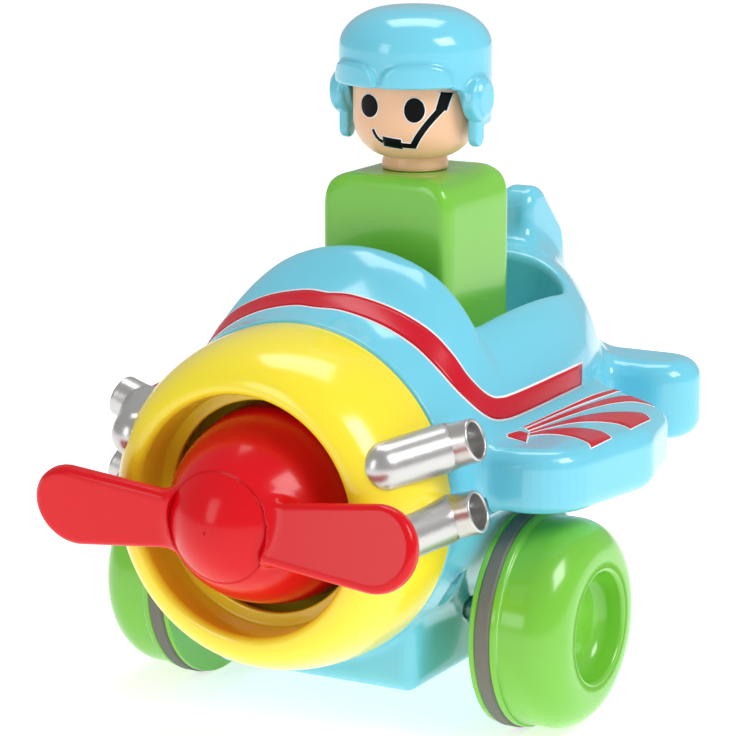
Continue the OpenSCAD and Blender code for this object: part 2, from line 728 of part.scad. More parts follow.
module crown_gear() {
    r = pitch_r(crown_n);
    back_y = crown_face_y - 0.95 * gear_m;
    color("#4a4d52") translate([0, 0, prop_z]) rotate([90, 0, 0]) difference() {
        union() {
            translate([0, 0, -back_y]) cylinder(r = r + 1.4, h = 2);
            translate([0, 0, -back_y - 1.2]) cylinder(r = 4.2, h = 4.4);
            // crown teeth, with a gap on the +X side, where the pinion's tooth enters
            for (k = [0:crown_n - 1]) rotate((k + 0.5) * 360 / crown_n)
                translate([r - 1.2, 0, -back_y]) rotate([90, 0, 90]) linear_extrude(2.4)
                    polygon([[-0.52, 0.4], [0.52, 0.4], [0.18, -1.4], [-0.18, -1.4]]);
        }
        translate([0, 0, 0]) cylinder(r = shaft_r, h = 80);
    }
}

module wheel(s) {
    body_r = wheel_r - 1.2;
    shoulder = 9.5;
    width = wheel_out - wheel_in;
    lip_r = wheel_r - 0.35;
    rim_x = lip_w + band_w + lip_w;
    dish_r = 13.7;
    round_edge = [for (a = [0:10:90])
        [body_r - shoulder + shoulder * cos(a), width - shoulder + shoulder * sin(a)]];
    translate([s * wheel_in, axle_y, axle_z]) rotate([0, s * 90, 0]) difference() {
        rotate_extrude($fn = 96) polygon(concat(
            [[shaft_r, 0], [lip_r - 1, 0], [lip_r, 0.8], [lip_r, lip_w], [wheel_r - 2, lip_w],
             [wheel_r - 2, lip_w + band_w], [lip_r, lip_w + band_w], [lip_r, rim_x], [body_r, rim_x + 0.6]],
            round_edge,
            [[dish_r + 1, width], [dish_r, width - 1], [dish_r - 0.6, width - 4], [dish_r - 1.8, width - 6],
             [dish_r - 4.4, width - 7], [0, width - 7], [0, width - 9.2], [shaft_r, width - 9.2]]));
    }
}
module wheel_left() { color(leaf) wheel(1); }
module wheel_right() { color(leaf) wheel(-1); }

module traction_band(s) {
    translate([s * wheel_in, axle_y, axle_z]) rotate([0, s * 90, 0]) rotate_extrude($fn = 96) polygon([
        [wheel_r - 2, lip_w], [wheel_r - 0.5, lip_w], [wheel_r, lip_w + 0.5],
        [wheel_r, lip_w + band_w - 0.5], [wheel_r - 0.5, lip_w + band_w], [wheel_r - 2, lip_w + band_w]]);
}
module traction_band_left() { color("#70706a") traction_band(1); }
module traction_band_right() { color("#70706a") traction_band(-1); }

// Spinner shell and two blades; the cap closes the front
cap_r = 13.5;
spinner_base_y = -54.5;
spinner_long = spinner_base_y - nose_y;
function spinner_at(r) = spinner_long * sqrt(1 - pow(r / spinner_r, 2));
cap_y = spinner_base_y - spinner_at(cap_r);

module propeller() {
    outer = [for (a = [0:10:50], r = [spinner_r * cos(a)]) if (r > cap_r) [r, spinner_at(r)]];
    inner = [for (a = [50:-10:0], r = [(spinner_r - 2) * cos(a)]) if (r > cap_r - 2)
        [r, max(0, spinner_at(r + 2) - 1.5)]];
    seat = spinner_at(cap_r);
    color(cherry) translate([0, spinner_base_y, prop_z]) rotate([90, 0, 0]) {
        difference() {
            union() {
                rotate_extrude($fn = 96) polygon(concat(outer,
                    [[cap_r, seat], [cap_r - 2.4, seat], [cap_r - 2.4, seat - 2.5]], inner));
                translate([0, 0, seat - 6]) cylinder(r = cap_r - 1.5, h = 4);
                translate([0, 0, 1]) cylinder(r = 5, h = seat - 3);
                for (s = [0, 180]) rotate(s) blade(seat - 1.5);
            }
            translate([0, 0, -2]) cylinder(r = shaft_r, h = seat - 2.5);
            cylinder(r = 1.4, h = 60);
            translate([0, 0, seat]) cylinder(r = cap_r + 0.05, h = 30, $fn = 96);
        }
    }
}

// Paddle blade along +X, pitched about its own length
module blade(z) {
    translate([0, 0, z]) rotate([14, 0, 0]) hull() {
        translate([blade_r - 10.4, 0, 0]) scale([1, 1, 1]) cylinder(r = 10.4, h = 2.2, center = true, $fn = 48);
        translate([blade_r - 10.4, 0, 0]) cylinder(r = 9.2, h = 4.2, center = true, $fn = 48);
        translate([cap_r + 1, 0, 0]) cylinder(r = 6.6, h = 4.2, center = true, $fn = 32);
        translate([cap_r + 1, 0, 0]) cylinder(r = 7.6, h = 2.2, center = true, $fn = 32);
    }
}

module spinner_cap() {
    dome = [for (a = [0:15:90]) let (r = cap_r * cos(a)) [r, spinner_at(r)]];
    color(cherry) translate([0, spinner_base_y, prop_z]) rotate([90, 0, 0]) difference() {
        rotate_extrude($fn = 96) polygon(concat([[0, spinner_at(cap_r) + 0.1], [cap_r, spinner_at(cap_r) + 0.1]],
            [for (a = [10:10:90]) [cap_r * cos(a), spinner_at(cap_r * cos(a))]]));
        cylinder(r = 3.2, h = spinner_at(cap_r) + 2.4);
    }
}

module spinner_screw() {
    color(steel) translate([0, cap_y + 2, prop_z]) rotate([-90, 0, 0]) screw(9, 1.4, 2.8);
}

module prop_shaft() {
    back_y = crown_face_y - 0.95 * gear_m + 1.2;
    color(steel) translate([0, back_y, prop_z]) rotate([90, 0, 0]) difference() {
        cylinder(r = shaft_r, h = back_y - cap_y - 4.5);
        translate([0, 0, back_y - cap_y - 15]) cylinder(r = 1.4, h = 20);
    }
}

module tail_wheel() {
    color(leaf) translate([0, tail_wheel_y, tail_wheel_r]) rotate([0, 90, 0]) difference() {
        rotate_extrude($fn = 64) polygon([[0, -5], [tail_wheel_r - 1.5, -5], [tail_wheel_r, -3.5],
            [tail_wheel_r, 3.5], [tail_wheel_r - 1.5, 5], [0, 5]]);
        cylinder(r = pin_r + fit, h = 20, center = true);
    }
}

upper_shell();
lower_shell();
cowl();
engine_bulkhead();
prop_bush();
exhaust_left_upper();
exhaust_left_lower();
exhaust_right_upper();
exhaust_right_lower();
gearbox_plate_left();
gearbox_plate_right();
gearbox_spacers();
drive_gear_pin();
idler_pin();
swing_arm();
axle_bushes();
gearbox_screws();
shell_screws();
cowl_screws();
tail_wheel_pin();
pilot_body();
pilot_head();
pilot_helmet();
plunger();
plunger_screws();
return_spring();
drive_gear();
swing_pinion();
axle();
axle_gear();
axle_prop_gear();
wheel_left();
wheel_right();
traction_band_left();
traction_band_right();
prop_idler();
cross_shaft();
propeller();
spinner_cap();
spinner_screw();
prop_shaft();
crown_gear();
tail_wheel();
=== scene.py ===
"""Press-and-go toy airplane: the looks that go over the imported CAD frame.

Shapes are worked out in millimetres in the row frame (nose towards -Y, the pilot's left +X, floor at z = 0)
and written to the meshes in metres.
"""

import math

import bpy
import numpy as np
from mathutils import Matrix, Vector


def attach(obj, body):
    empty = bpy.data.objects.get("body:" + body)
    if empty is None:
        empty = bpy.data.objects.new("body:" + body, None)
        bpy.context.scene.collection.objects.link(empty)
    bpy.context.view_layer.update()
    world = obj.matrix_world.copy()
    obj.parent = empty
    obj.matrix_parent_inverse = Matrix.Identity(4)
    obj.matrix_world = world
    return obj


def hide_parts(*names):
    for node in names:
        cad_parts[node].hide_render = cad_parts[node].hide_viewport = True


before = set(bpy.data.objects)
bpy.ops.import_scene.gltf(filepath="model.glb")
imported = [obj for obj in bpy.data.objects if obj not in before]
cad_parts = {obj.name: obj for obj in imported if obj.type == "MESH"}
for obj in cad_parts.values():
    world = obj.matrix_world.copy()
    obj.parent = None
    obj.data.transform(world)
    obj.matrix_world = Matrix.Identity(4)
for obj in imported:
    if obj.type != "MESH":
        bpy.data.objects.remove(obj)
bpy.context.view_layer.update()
MM = 0.001

# ---------------------------------------------------------------- driving sizes, mm
COWL_REAR = -50.5      # y where the cowl meets the fuselage
COWL_FRONT = -78.0
COWL_R = 42.3
MOUTH_R = 29.5
SHAFT_Z = 61.2         # height of the propeller shaft
SPINNER_BASE = -54.5
NOSE = -94.0
SPINNER_R = 25.0
CAP_R = 13.5           # radius of the seam round the spinner's cap
BLADE_R = 52.0
SPLIT_Z = 62.2         # plane where the two shells meet
WALL = 2.2
WING_Z, WING_T = 58.4, 16.0
TAIL_Z, TAIL_T = 55.8, 21.4
FIN_T = 10.4
COCKPIT_FLOOR = 88.0
BELLY_Z = 12.0
BELLY_W = 59.0
AXLE_Y, AXLE_Z = -16.5, 27.5
WHEEL_IN, WHEEL_OUT = 43.2, 66.0
WHEEL_R = 27.5
PILOT_Y = 10.4
HEAD_Y = 9.5
PILOT_W, PILOT_D = 38.6, 35.8
PILOT_TOP = 133.5
GUIDE_GAP = 0.3        # clearance round the pilot in the cockpit floor
TAIL_WHEEL_Y, TAIL_WHEEL_R = 44.0, 9.5
HEAD_R = 15.9
HELMET_R = 19.5
EAR_Y = HEAD_Y - 2.3
HELMET_TOP = 176.0
BROW_Z = 156.0


# ---------------------------------------------------------------- meshes
def add_mesh(name, points, faces, material, body, slot, replaced=()):
    """A closed mesh from points in mm and an (n, 3 or 4) array of faces."""
    points = np.asarray(points, dtype=np.float64)
    faces = np.asarray(faces, dtype=np.int32)
    mesh = bpy.data.meshes.new(name)
    mesh.vertices.add(len(points))
    mesh.vertices.foreach_set("co", (points * MM).ravel())
    corners = faces.shape[1]
    mesh.loops.add(faces.size)
    mesh.loops.foreach_set("vertex_index", faces.ravel())
    mesh.polygons.add(len(faces))
    mesh.polygons.foreach_set("loop_start", np.arange(0, faces.size, corners, dtype=np.int32))
    mesh.update(calc_edges=True)
    mesh.validate()
    mesh.polygons.foreach_set("use_smooth", np.ones(len(mesh.polygons), dtype=bool))
    obj = bpy.data.objects.new(name, mesh)
    bpy.context.scene.collection.objects.link(obj)
    obj.data.materials.append(material)
    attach(obj, body)
    if replaced:
        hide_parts(*replaced)


def grid_faces(rows, columns, wrap_rows=False, wrap_columns=False):
    """Quads over a grid of points stored row by row."""
    i = np.arange(rows if wrap_rows else rows - 1)
    j = np.arange(columns if wrap_columns else columns - 1)
    i, j = np.meshgrid(i, j, indexing="ij")
    i2 = (i + 1) % rows
    j2 = (j + 1) % columns
    quads = [i * columns + j, i2 * columns + j, i2 * columns + j2, i * columns + j2]
    return np.stack([q.ravel() for q in quads], axis=1)


def lathe(profile, origin, axis, segments=160):
    """Points and faces of a closed profile [radius, distance along axis] turned round that axis."""
    profile = np.asarray(profile, dtype=float)
    axis = np.asarray(axis, dtype=float)
    side = np.array([0.0, 0.0, 1.0]) if abs(axis[2]) < 0.5 else np.array([1.0, 0.0, 0.0])
    other = np.cross(axis, side)
    turn = np.arange(segments) * 2 * math.pi / segments
    ring = np.cos(turn)[:, None] * side + np.sin(turn)[:, None] * other
    radius, distance = profile[None, :, 0, None], profile[None, :, 1, None]
    points = radius * ring[:, None, :] + distance * axis + np.asarray(origin)
    return points.reshape(-1, 3), grid_faces(segments, len(profile), True, True)


def arc(centre, radius, start, end, steps=12):
    """Points of an arc from start to end degrees. radius may be a pair, for an ellipse."""
    rx, ry = radius if isinstance(radius, tuple) else (radius, radius)
    angle = np.radians(np.linspace(start, end, steps + 1))
    return [[centre[0] + rx * math.cos(a), centre[1] + ry * math.sin(a)] for a in angle]


def softened(profile, gap=0.45):
    """A closed profile with points kept close to both sides of each corner, to keep smooth shading crisp."""
    out = []
    count = len(profile)
    for k, here in enumerate(profile):
        here = np.asarray(here, float)
        before = np.asarray(profile[k - 1], float)
        after = np.asarray(profile[(k + 1) % count], float)
        a, b = here - before, after - here
        la, lb = np.linalg.norm(a), np.linalg.norm(b)
        bend = abs(a[0] * b[1] - a[1] * b[0]) / max(la * lb, 1e-9)
        if bend < 0.35:
            out.append(here)
            continue
        near = min(gap, la / 3, lb / 3)
        p, q = here - a / la * near, here + b / lb * near
        out += [p - a / la * near * 0.5, p, (p + q) / 4 + here / 2, q, q + b / lb * near * 0.5]
    return out


# ---------------------------------------------------------------- shapes as distances
def smooth_min(a, b, k):
    """Union of two distances with a fillet about k wide."""
    h = np.maximum(k - np.abs(a - b), 0) / k
    return np.minimum(a, b) - h * h * k * 0.25


def smooth_max(a, b, k):
    """Intersection of two distances with a rounded edge about k wide."""
    return -smooth_min(-a, -b, k)


def cube(x, y, z, lo, hi, soft):
    """Distance to a box with rounded edges."""
    q = [np.abs(v - (a + b) / 2) - (b - a) / 2 + soft for v, a, b in zip((x, y, z), lo, hi)]
    out = np.sqrt(sum(np.maximum(v, 0) ** 2 for v in q))
    return out + np.minimum(np.maximum(q[0], np.maximum(q[1], q[2])), 0) - soft


def extruded(flat, across, half, soft):
    """A flat distance made half thick to both sides of across = 0, with rounded edges."""
    u = flat + soft
    v = np.abs(across) - half + soft
    return np.sqrt(np.maximum(u, 0) ** 2 + np.maximum(v, 0) ** 2) + np.minimum(np.maximum(u, v), 0) - soft


def around_circles(circles, steps=40):
    """Outline of the tightest band round some circles [u, v, radius]."""
    points = sorted((u + r * math.cos(a), v + r * math.sin(a))
                    for u, v, r in circles for a in np.arange(steps) * 2 * math.pi / steps)

    def chain(items):
        kept = []
        for p in items:
            while len(kept) > 1:
                a, b = kept[-2], kept[-1]
                if (b[0] - a[0]) * (p[1] - a[1]) - (b[1] - a[1]) * (p[0] - a[0]) > 0:
                    break
                kept.pop()
            kept.append(p)
        return kept[:-1]
    return chain(points) + chain(points[::-1])


class Outline:
    """Signed distance to a closed flat outline, looked up on a fine grid."""
    MARGIN = 14.0
    STEP = 0.4

    def __init__(self, points):
        points = np.asarray(points, dtype=float)
        self.lo = points.min(axis=0) - self.MARGIN
        count = np.ceil((points.max(axis=0) + self.MARGIN - self.lo) / self.STEP).astype(int) + 1
        u, v = np.meshgrid(*(self.lo[k] + np.arange(count[k]) * self.STEP for k in (0, 1)), indexing="ij")
        best = np.full(u.shape, 1e9)
        inside = np.zeros(u.shape, dtype=bool)
        for a, b in zip(points, np.roll(points, -1, axis=0)):
            edge = b - a
            share = np.clip(((u - a[0]) * edge[0] + (v - a[1]) * edge[1]) / max(edge @ edge, 1e-12), 0, 1)
            best = np.minimum(best, (u - a[0] - share * edge[0]) ** 2 + (v - a[1] - share * edge[1]) ** 2)
            if a[1] != b[1]:
                level = (a[1] > v) != (b[1] > v)
                inside ^= level & (u < a[0] + (v - a[1]) / (b[1] - a[1]) * (b[0] - a[0]))
        self.grid = (np.sqrt(best) * np.where(inside, -1, 1)).astype(np.float32)

    def __call__(self, u, v):
        p = np.clip((u - self.lo[0]) / self.STEP, 0, self.grid.shape[0] - 1.001)
        q = np.clip((v - self.lo[1]) / self.STEP, 0, self.grid.shape[1] - 1.001)
        i, j = p.astype(np.int32), q.astype(np.int32)
        p, q = p - i, q - j
        g = self.grid
        near = g[i, j] * (1 - p) + g[i + 1, j] * p
        far = g[i, j + 1] * (1 - p) + g[i + 1, j + 1] * p
        return near * (1 - q) + far * q


def gradient(field, p, h=0.05):
    """(value, gradient) of a field at points p."""
    value = field(p[:, 0], p[:, 1], p[:, 2])
    slope = np.stack([field(p[:, 0] + h * (k == 0), p[:, 1] + h * (k == 1), p[:, 2] + h * (k == 2)) - value
                      for k in range(3)], axis=1) / h
    return value, slope


def pulled_to(field, p, steps=3, lift=0.0, reach=1.2):
    """Points p moved onto the surface where field equals lift, and the surface's directions there."""
    p = np.array(p, dtype=np.float64)
    for _ in range(steps):
        value, slope = gradient(field, p)
        size = np.maximum((slope ** 2).sum(axis=1), 1e-3)
        move = np.clip((value - lift) / size, -reach, reach)
        p -= slope * move[:, None]
    _, slope = gradient(field, p)
    return p, slope / np.maximum(np.linalg.norm(slope, axis=1), 1e-6)[:, None]


def net(field, lo, hi, voxel):
    """Closed quad mesh of field = 0 by surface nets, its points then pulled onto the surface."""
    block = 6
    lo = np.asarray(lo, dtype=float) - voxel * 1.5
    count = np.ceil((np.asarray(hi) + voxel * 1.5 - lo) / (voxel * block)).astype(int)
    size = count * block + 1
    middles = [lo[k] + (np.arange(count[k]) + 0.5) * voxel * block for k in range(3)]
    mx, my, mz = (m.ravel() for m in np.meshgrid(*middles, indexing="ij"))
    rough = field(mx, my, mz)
    coarse = rough.reshape(count)
    value = np.empty(size, dtype=np.float32)
    spread = np.repeat(np.repeat(np.repeat(coarse, block, 0), block, 1), block, 2)
    value[:-1, :-1, :-1] = spread
    value[-1], value[:, -1], value[:, :, -1] = 1e3, 1e3, 1e3
    busy = np.argwhere(np.abs(coarse) < voxel * block * 1.25)
    offset = np.stack(np.meshgrid(*[np.arange(block + 1)] * 3, indexing="ij"), axis=-1).reshape(-1, 3)
    for part in np.array_split(busy, max(1, len(busy) // 1500)):
        index = (part[:, None, :] * block + offset[None]).reshape(-1, 3)
        p = lo + index * voxel
        value[index[:, 0], index[:, 1], index[:, 2]] = field(p[:, 0], p[:, 1], p[:, 2])
    inside = value < 0
    corners = [inside[a:size[0] - 1 + a, b:size[1] - 1 + b, c:size[2] - 1 + c]
               for a in (0, 1) for b in (0, 1) for c in (0, 1)]
    total = sum(c.astype(np.int8) for c in corners)
    cell = (total > 0) & (total < 8)
    cells = np.argwhere(cell)
    number = np.full(cell.shape, -1, dtype=np.int32)
    number[tuple(cells.T)] = np.arange(len(cells))
    # each cell's point is the mean of the crossings on its twelve edges
    where = np.zeros((len(cells), 3))
    hits = np.zeros(len(cells))
    for axis in range(3):
        others = [k for k in range(3) if k != axis]
        for a in (0, 1):
            for b in (0, 1):
                start = cells.copy()
                start[:, others[0]] += a
                start[:, others[1]] += b
                end = start.copy()
                end[:, axis] += 1
                v0, v1 = value[tuple(start.T)], value[tuple(end.T)]
                cut = (v0 < 0) != (v1 < 0)
                share = np.where(cut, v0 / np.where(cut, v0 - v1, 1), 0)
                where += np.where(cut[:, None], start + share[:, None] * np.eye(3)[axis], 0)
                hits += cut
    points = lo + where / hits[:, None] * voxel
    faces = []
    for axis in range(3):
        others = [(axis + 1) % 3, (axis + 2) % 3]
        start = [slice(None)] * 3
        stop = [slice(None)] * 3
        start[axis], stop[axis] = slice(0, -1), slice(1, None)
        crossing = inside[tuple(start)] != inside[tuple(stop)]
        at = np.argwhere(crossing)
        at = at[(at[:, others[0]] > 0) & (at[:, others[1]] > 0)]
        at = at[(at[:, others[0]] < cell.shape[others[0]]) & (at[:, others[1]] < cell.shape[others[1]])]
        quad = []
        for a, b in ((1, 1), (0, 1), (0, 0), (1, 0)):
            k = at.copy()
            k[:, others[0]] -= a
            k[:, others[1]] -= b
            quad.append(number[tuple(k.T)])
        quad = np.stack(quad, axis=1)
        flip = ~inside[tuple(at.T)]
        quad[flip] = quad[flip][:, ::-1]
        faces.append(quad)
    points, _ = pulled_to(field, points, steps=2, reach=voxel * 0.35)
    return points, np.concatenate(faces)


# ---------------------------------------------------------------- fuselage and its shells
# Sections [y, half width, widest height, top, bottom, squareness above, squareness below]
STATIONS = np.array([
    [-50.5, 42.3, 61.2, 103.5, 18.9, 2.0, 2.0],
    [-36, 42.6, 61.2, 103.6, 18.5, 2.05, 2.0],
    [-14, 42.8, 62, 103.6, 18.5, 2.9, 2.0],
    [14, 42.4, 63, 103.6, 20, 3.4, 2.1],
    [34, 40, 64, 104.4, 26, 3.2, 2.2],
    [50, 35, 65, 106, 34, 2.8, 2.2],
    [62, 29, 66.5, 105.5, 42, 2.5, 2.2],
    [74, 22, 68, 102, 50, 2.3, 2.2],
    [84, 16, 70, 96.5, 57, 2.2, 2.2],
    [94, 9, 74, 87, 64, 2.0, 2.0]])


def between(column, y):
    """Smooth value of a column of STATIONS at each y."""
    ys, p = STATIONS[:, 0], STATIONS[:, column]
    last = len(ys) - 1
    i = np.clip(np.searchsorted(ys, y) - 1, 0, last - 1)
    t = np.clip((y - ys[i]) / (ys[i + 1] - ys[i]), 0, 1)
    p0, p1, p2, p3 = p[np.maximum(i - 1, 0)], p[i], p[i + 1], p[np.minimum(i + 2, last)]
    return p1 + 0.5 * t * (p2 - p0 + t * (2 * p0 - 5 * p1 + 4 * p2 - p3 + t * (3 * (p1 - p2) + p3 - p0)))


ALONG = np.arange(-60, 100, 0.25)
SECTION = [between(c, ALONG) for c in range(7)]


def section(column, y):
    return np.interp(y, ALONG, SECTION[column])


def fuselage(x, y, z):
    """Distance to the superellipse that the stations give at each y."""
    half, wide_z = section(1, y), section(2, y)
    up = z >= wide_z
    n = np.where(up, section(5, y), section(6, y))
    high = np.where(up, section(3, y) - wide_z, wide_z - section(4, y))
    p, q = np.abs(x) / half, np.abs(z - wide_z) / high
    g = np.maximum((p ** n + q ** n) ** (1 / n), 0.05)
    steep = np.sqrt(((p / g) ** (n - 1) / half) ** 2 + ((q / g) ** (n - 1) / high) ** 2)
    return (g - 1) / np.maximum(steep, 1e-4)


WING_CORNERS = [[s * a, b, r] for s in (-1, 1) for a, b, r in
                ((51, -20.5, 15.5), (55.5, 2, 15), (50.5, 18, 16), (40, 33, 10.5), (34, -28, 8))]
wing_plan = Outline(around_circles(WING_CORNERS))
tail_plan = Outline(around_circles([[s * 43, 70, 11] for s in (-1, 1)]))
fin_side = Outline(around_circles([[72.4, 114, 6.4], [81, 101.5, 9.4], [83.5, 92, 9.6], [75, 88, 9]]))
cockpit_plan = Outline(around_circles([[s * 19.5, -9.5, 8] for s in (-1, 1)]
                                      + [[s * 11.5, 36, 16] for s in (-1, 1)]))
HUMP_CREST_Y, HUMP_CREST_Z, HUMP_R = -23.0, 119.2, 38.5


def hump_profile():
    """Outline of the windscreen hump, [y, z over the shaft]: a concave front, a crest, a wall behind."""
    reach = HUMP_CREST_Y - COWL_REAR
    front = [[COWL_REAR + t, SHAFT_Z + 41.5 + 0.19 * t + 0.0146 * t * t] for t in np.linspace(-4, reach, 24)]
    return front + [[HUMP_CREST_Y + 2.5, HUMP_CREST_Z], [HUMP_CREST_Y + 5, HUMP_CREST_Z - 2],
                    [HUMP_CREST_Y + 5.5, 50], [COWL_REAR - 4, 50]]


hump_side = Outline(hump_profile())


def hump(x, y, z):
    """The hump's outline turned about the shaft, under one round arch."""
    arch = np.hypot(x, z - HUMP_CREST_Z + HUMP_R) - HUMP_R
    return smooth_max(hump_side(y, SHAFT_Z + np.hypot(x, z - SHAFT_Z)), arch, 5.0)


def wings(x, y, z):
    return extruded(wing_plan(x, y), z - WING_Z - WING_T / 2, WING_T / 2, 4.5)


def tailplane(x, y, z):
    return extruded(tail_plan(x, y), z - TAIL_Z - TAIL_T / 2, TAIL_T / 2, 5.5)


def fin(x, y, z):
    return extruded(fin_side(y, z), x, FIN_T / 2, 3.2)


def belly(x, y, z):
    return cube(x, y, z, (-BELLY_W / 2, -45.5, BELLY_Z), (BELLY_W / 2, 24, 60), 4.5)


def airframe(x, y, z):
    """The outside of the whole moulded body, before the cockpit is cut."""
    d = smooth_min(fuselage(x, y, z), hump(x, y, z), 4.0)
    d = smooth_min(d, wings(x, y, z), 5.0)
    d = smooth_min(d, tailplane(x, y, z), 8.0)
    d = smooth_min(d, fin(x, y, z), 9.0)
    d = smooth_min(d, belly(x, y, z), 3.0)
    d = smooth_max(d, y - 94.0, 8.0)
    return np.maximum(d, COWL_REAR - y)


def cockpit(x, y, z):
    return smooth_max(cockpit_plan(x, y), COCKPIT_FLOOR - z, 3.0)


def skin(x, y, z):
    """The outside with the cockpit cut into it. Its rim is rounded."""
    return smooth_max(airframe(x, y, z), -cockpit(x, y, z), 3.2)


def seam_height(x, y):
    """The shells meet on one plane, and the upper one takes in the whole wing."""
    outside = np.abs(x) > section(1, y) + 1.5
    return np.where(outside, TAIL_Z - 2, SPLIT_Z)


def upper_shell(x, y, z):
    solid = airframe(x, y, z)
    tub = np.maximum(cockpit_plan(x, y) - WALL, COCKPIT_FLOOR - WALL - z)
    hollow = np.maximum(np.maximum(solid + WALL, -tub), np.abs(x) - section(1, y) + WALL)
    d = smooth_max(solid, -cockpit(x, y, z), 3.2)
    d = np.maximum(d, -hollow)
    slot = cube(x, y, z, (-PILOT_W / 2 - GUIDE_GAP, PILOT_Y - PILOT_D / 2 - GUIDE_GAP, 70),
                (PILOT_W / 2 + GUIDE_GAP, PILOT_Y + PILOT_D / 2 + GUIDE_GAP, 140), 0.2)
    d = np.maximum(d, -slot)
    return np.maximum(d, seam_height(x, y) + 0.08 - z)


SHELL_SCREWS = [(s * a, b) for s in (-1, 1) for a, b in ((31, 33), (35.3, -38))]
FORK_W = 8.5


def post(x, y, z, at, radius, low, high):
    return np.maximum(np.hypot(x - at[0], y - at[1]) - radius, np.maximum(low - z, z - high))


def lower_shell(x, y, z):
    solid = airframe(x, y, z)
    hollow = np.maximum(smooth_min(fuselage(x, y, z), belly(x, y, z), 3.0) + WALL, COWL_REAR + 3 - y)
    wells = np.minimum.reduce([post(x, y, z, at, 4.4, 14, 70) for at in SHELL_SCREWS])
    d = np.maximum(solid, -hollow)
    d = np.minimum(d, np.maximum(wells, solid))
    d = np.minimum(d, post(x, y, z, (0, 12), 4.3, BELLY_Z + 1, 31))
    d = np.minimum(d, post(x, y, z, (0, 12), 9, BELLY_Z + 1, 16))
    fork = cube(x, y, z, (-FORK_W, TAIL_WHEEL_Y - 6.5, 5), (FORK_W, TAIL_WHEEL_Y + 6.5, 40), 3.5)
    d = smooth_min(d, np.maximum(fork, -hollow), 4.0)
    wheel_room = np.hypot(y - TAIL_WHEEL_Y, z - TAIL_WHEEL_R) - TAIL_WHEEL_R - 1.5
    wheel_room = np.maximum(wheel_room, np.abs(x) - 5.6)
    d = smooth_max(d, -wheel_room, 0.8)
    d = np.maximum(d, 3 - np.hypot(y - AXLE_Y, z - AXLE_Z))
    for at in SHELL_SCREWS:
        d = np.maximum(d, -post(x, y, z, at, 2.9, 0, 50))
    return np.maximum(d, z - seam_height(x, y) + 0.08)


# ---------------------------------------------------------------- materials
def principled(name, colour, roughness, **sockets):
    material = bpy.data.materials.new(name)
    material.use_nodes = True
    shader = material.node_tree.nodes["Principled BSDF"]
    shader.inputs["Base Color"].default_value = (*colour, 1)
    shader.inputs["Roughness"].default_value = roughness
    for key, value in sockets.items():
        shader.inputs[key.replace("_", " ")].default_value = value
    return material, shader


def srgb(code):
    """Linear colour of a hex code."""
    parts = [int(code[k:k + 2], 16) / 255 for k in (1, 3, 5)]
    return tuple(v / 12.92 if v <= 0.04045 else ((v + 0.055) / 1.055) ** 2.4 for v in parts)


def varied(material, shader, colour, change, roughness, spread, grain, bump):
    """Slight variation of colour and gloss, and a fine surface grain."""
    tree = material.node_tree
    nodes, links = tree.nodes, tree.links
    place = nodes.new("ShaderNodeTexCoord")
    broad = nodes.new("ShaderNodeTexNoise")
    broad.inputs["Scale"].default_value = 38
    broad.inputs["Detail"].default_value = 3
    links.new(place.outputs["Object"], broad.inputs["Vector"])
    tint = nodes.new("ShaderNodeMixRGB")
    tint.inputs[1].default_value = (*[v * (1 - change) for v in colour], 1)
    tint.inputs[2].default_value = (*[min(1, v * (1 + change)) for v in colour], 1)
    links.new(broad.outputs["Fac"], tint.inputs[0])
    links.new(tint.outputs[0], shader.inputs["Base Color"])
    fine = nodes.new("ShaderNodeTexNoise")
    fine.inputs["Scale"].default_value = grain
    fine.inputs["Detail"].default_value = 2
    links.new(place.outputs["Object"], fine.inputs["Vector"])
    gloss = nodes.new("ShaderNodeMapRange")
    gloss.inputs["To Min"].default_value = roughness - spread
    gloss.inputs["To Max"].default_value = roughness + spread
    links.new(fine.outputs["Fac"], gloss.inputs["Value"])
    links.new(gloss.outputs["Result"], shader.inputs["Roughness"])
    relief = nodes.new("ShaderNodeBump")
    relief.inputs["Strength"].default_value = bump
    relief.inputs["Distance"].default_value = 0.0002
    links.new(fine.outputs["Fac"], relief.inputs["Height"])
    links.new(relief.outputs["Normal"], shader.inputs["Normal"])
    return material


def plastic(name, code, roughness=0.2, change=0.03, bump=0.03, **sockets):
    """A moulded or painted finish. Deep colours take a lower specular level, which keeps them saturated."""
    colour = srgb(code)
    material, shader = principled(name, colour, roughness, IOR=1.5, **sockets)
    return varied(material, shader, colour, change, roughness, 0.04, 900, bump)


sky_plastic = plastic("sky_plastic", "#6FCBE2", 0.17, Coat_Weight=0.35, Coat_Roughness=0.06)
yellow_plastic = plastic("yellow_plastic", "#F6E22E", 0.2, Coat_Weight=0.3, Coat_Roughness=0.08)
red_plastic = plastic("red_plastic", "#D60A18", 0.2, Coat_Weight=0.12, Coat_Roughness=0.06,
                      Specular_IOR_Level=0.22)
green_plastic = plastic("green_plastic", "#77C43A", 0.22, Coat_Weight=0.3, Coat_Roughness=0.08)
skin_plastic = plastic("skin_plastic", "#F0BE97", 0.34)
silver_paint = plastic("silver_paint", "#C9C8C6", 0.3, change=0.06, bump=0.12, Metallic=0.85)
grey_rubber = plastic("grey_rubber", "#6E6D67", 0.6, change=0.05, bump=0.15)
nylon = plastic("nylon", "#EFE9DA", 0.38)
orange_acetal = plastic("orange_acetal", "#E8743B", 0.32)
dark_acetal = plastic("dark_acetal", "#4A4D52", 0.34)
steel = plastic("steel", "#B9BCC0", 0.28, change=0.04, Metallic=1.0)
red_print = plastic("red_print", "#C80F26", 0.24, Specular_IOR_Level=0.3)
white_print = plastic("white_print", "#F2F4F6", 0.25)
black_print = plastic("black_print", "#050506", 0.35, Specular_IOR_Level=0.12)


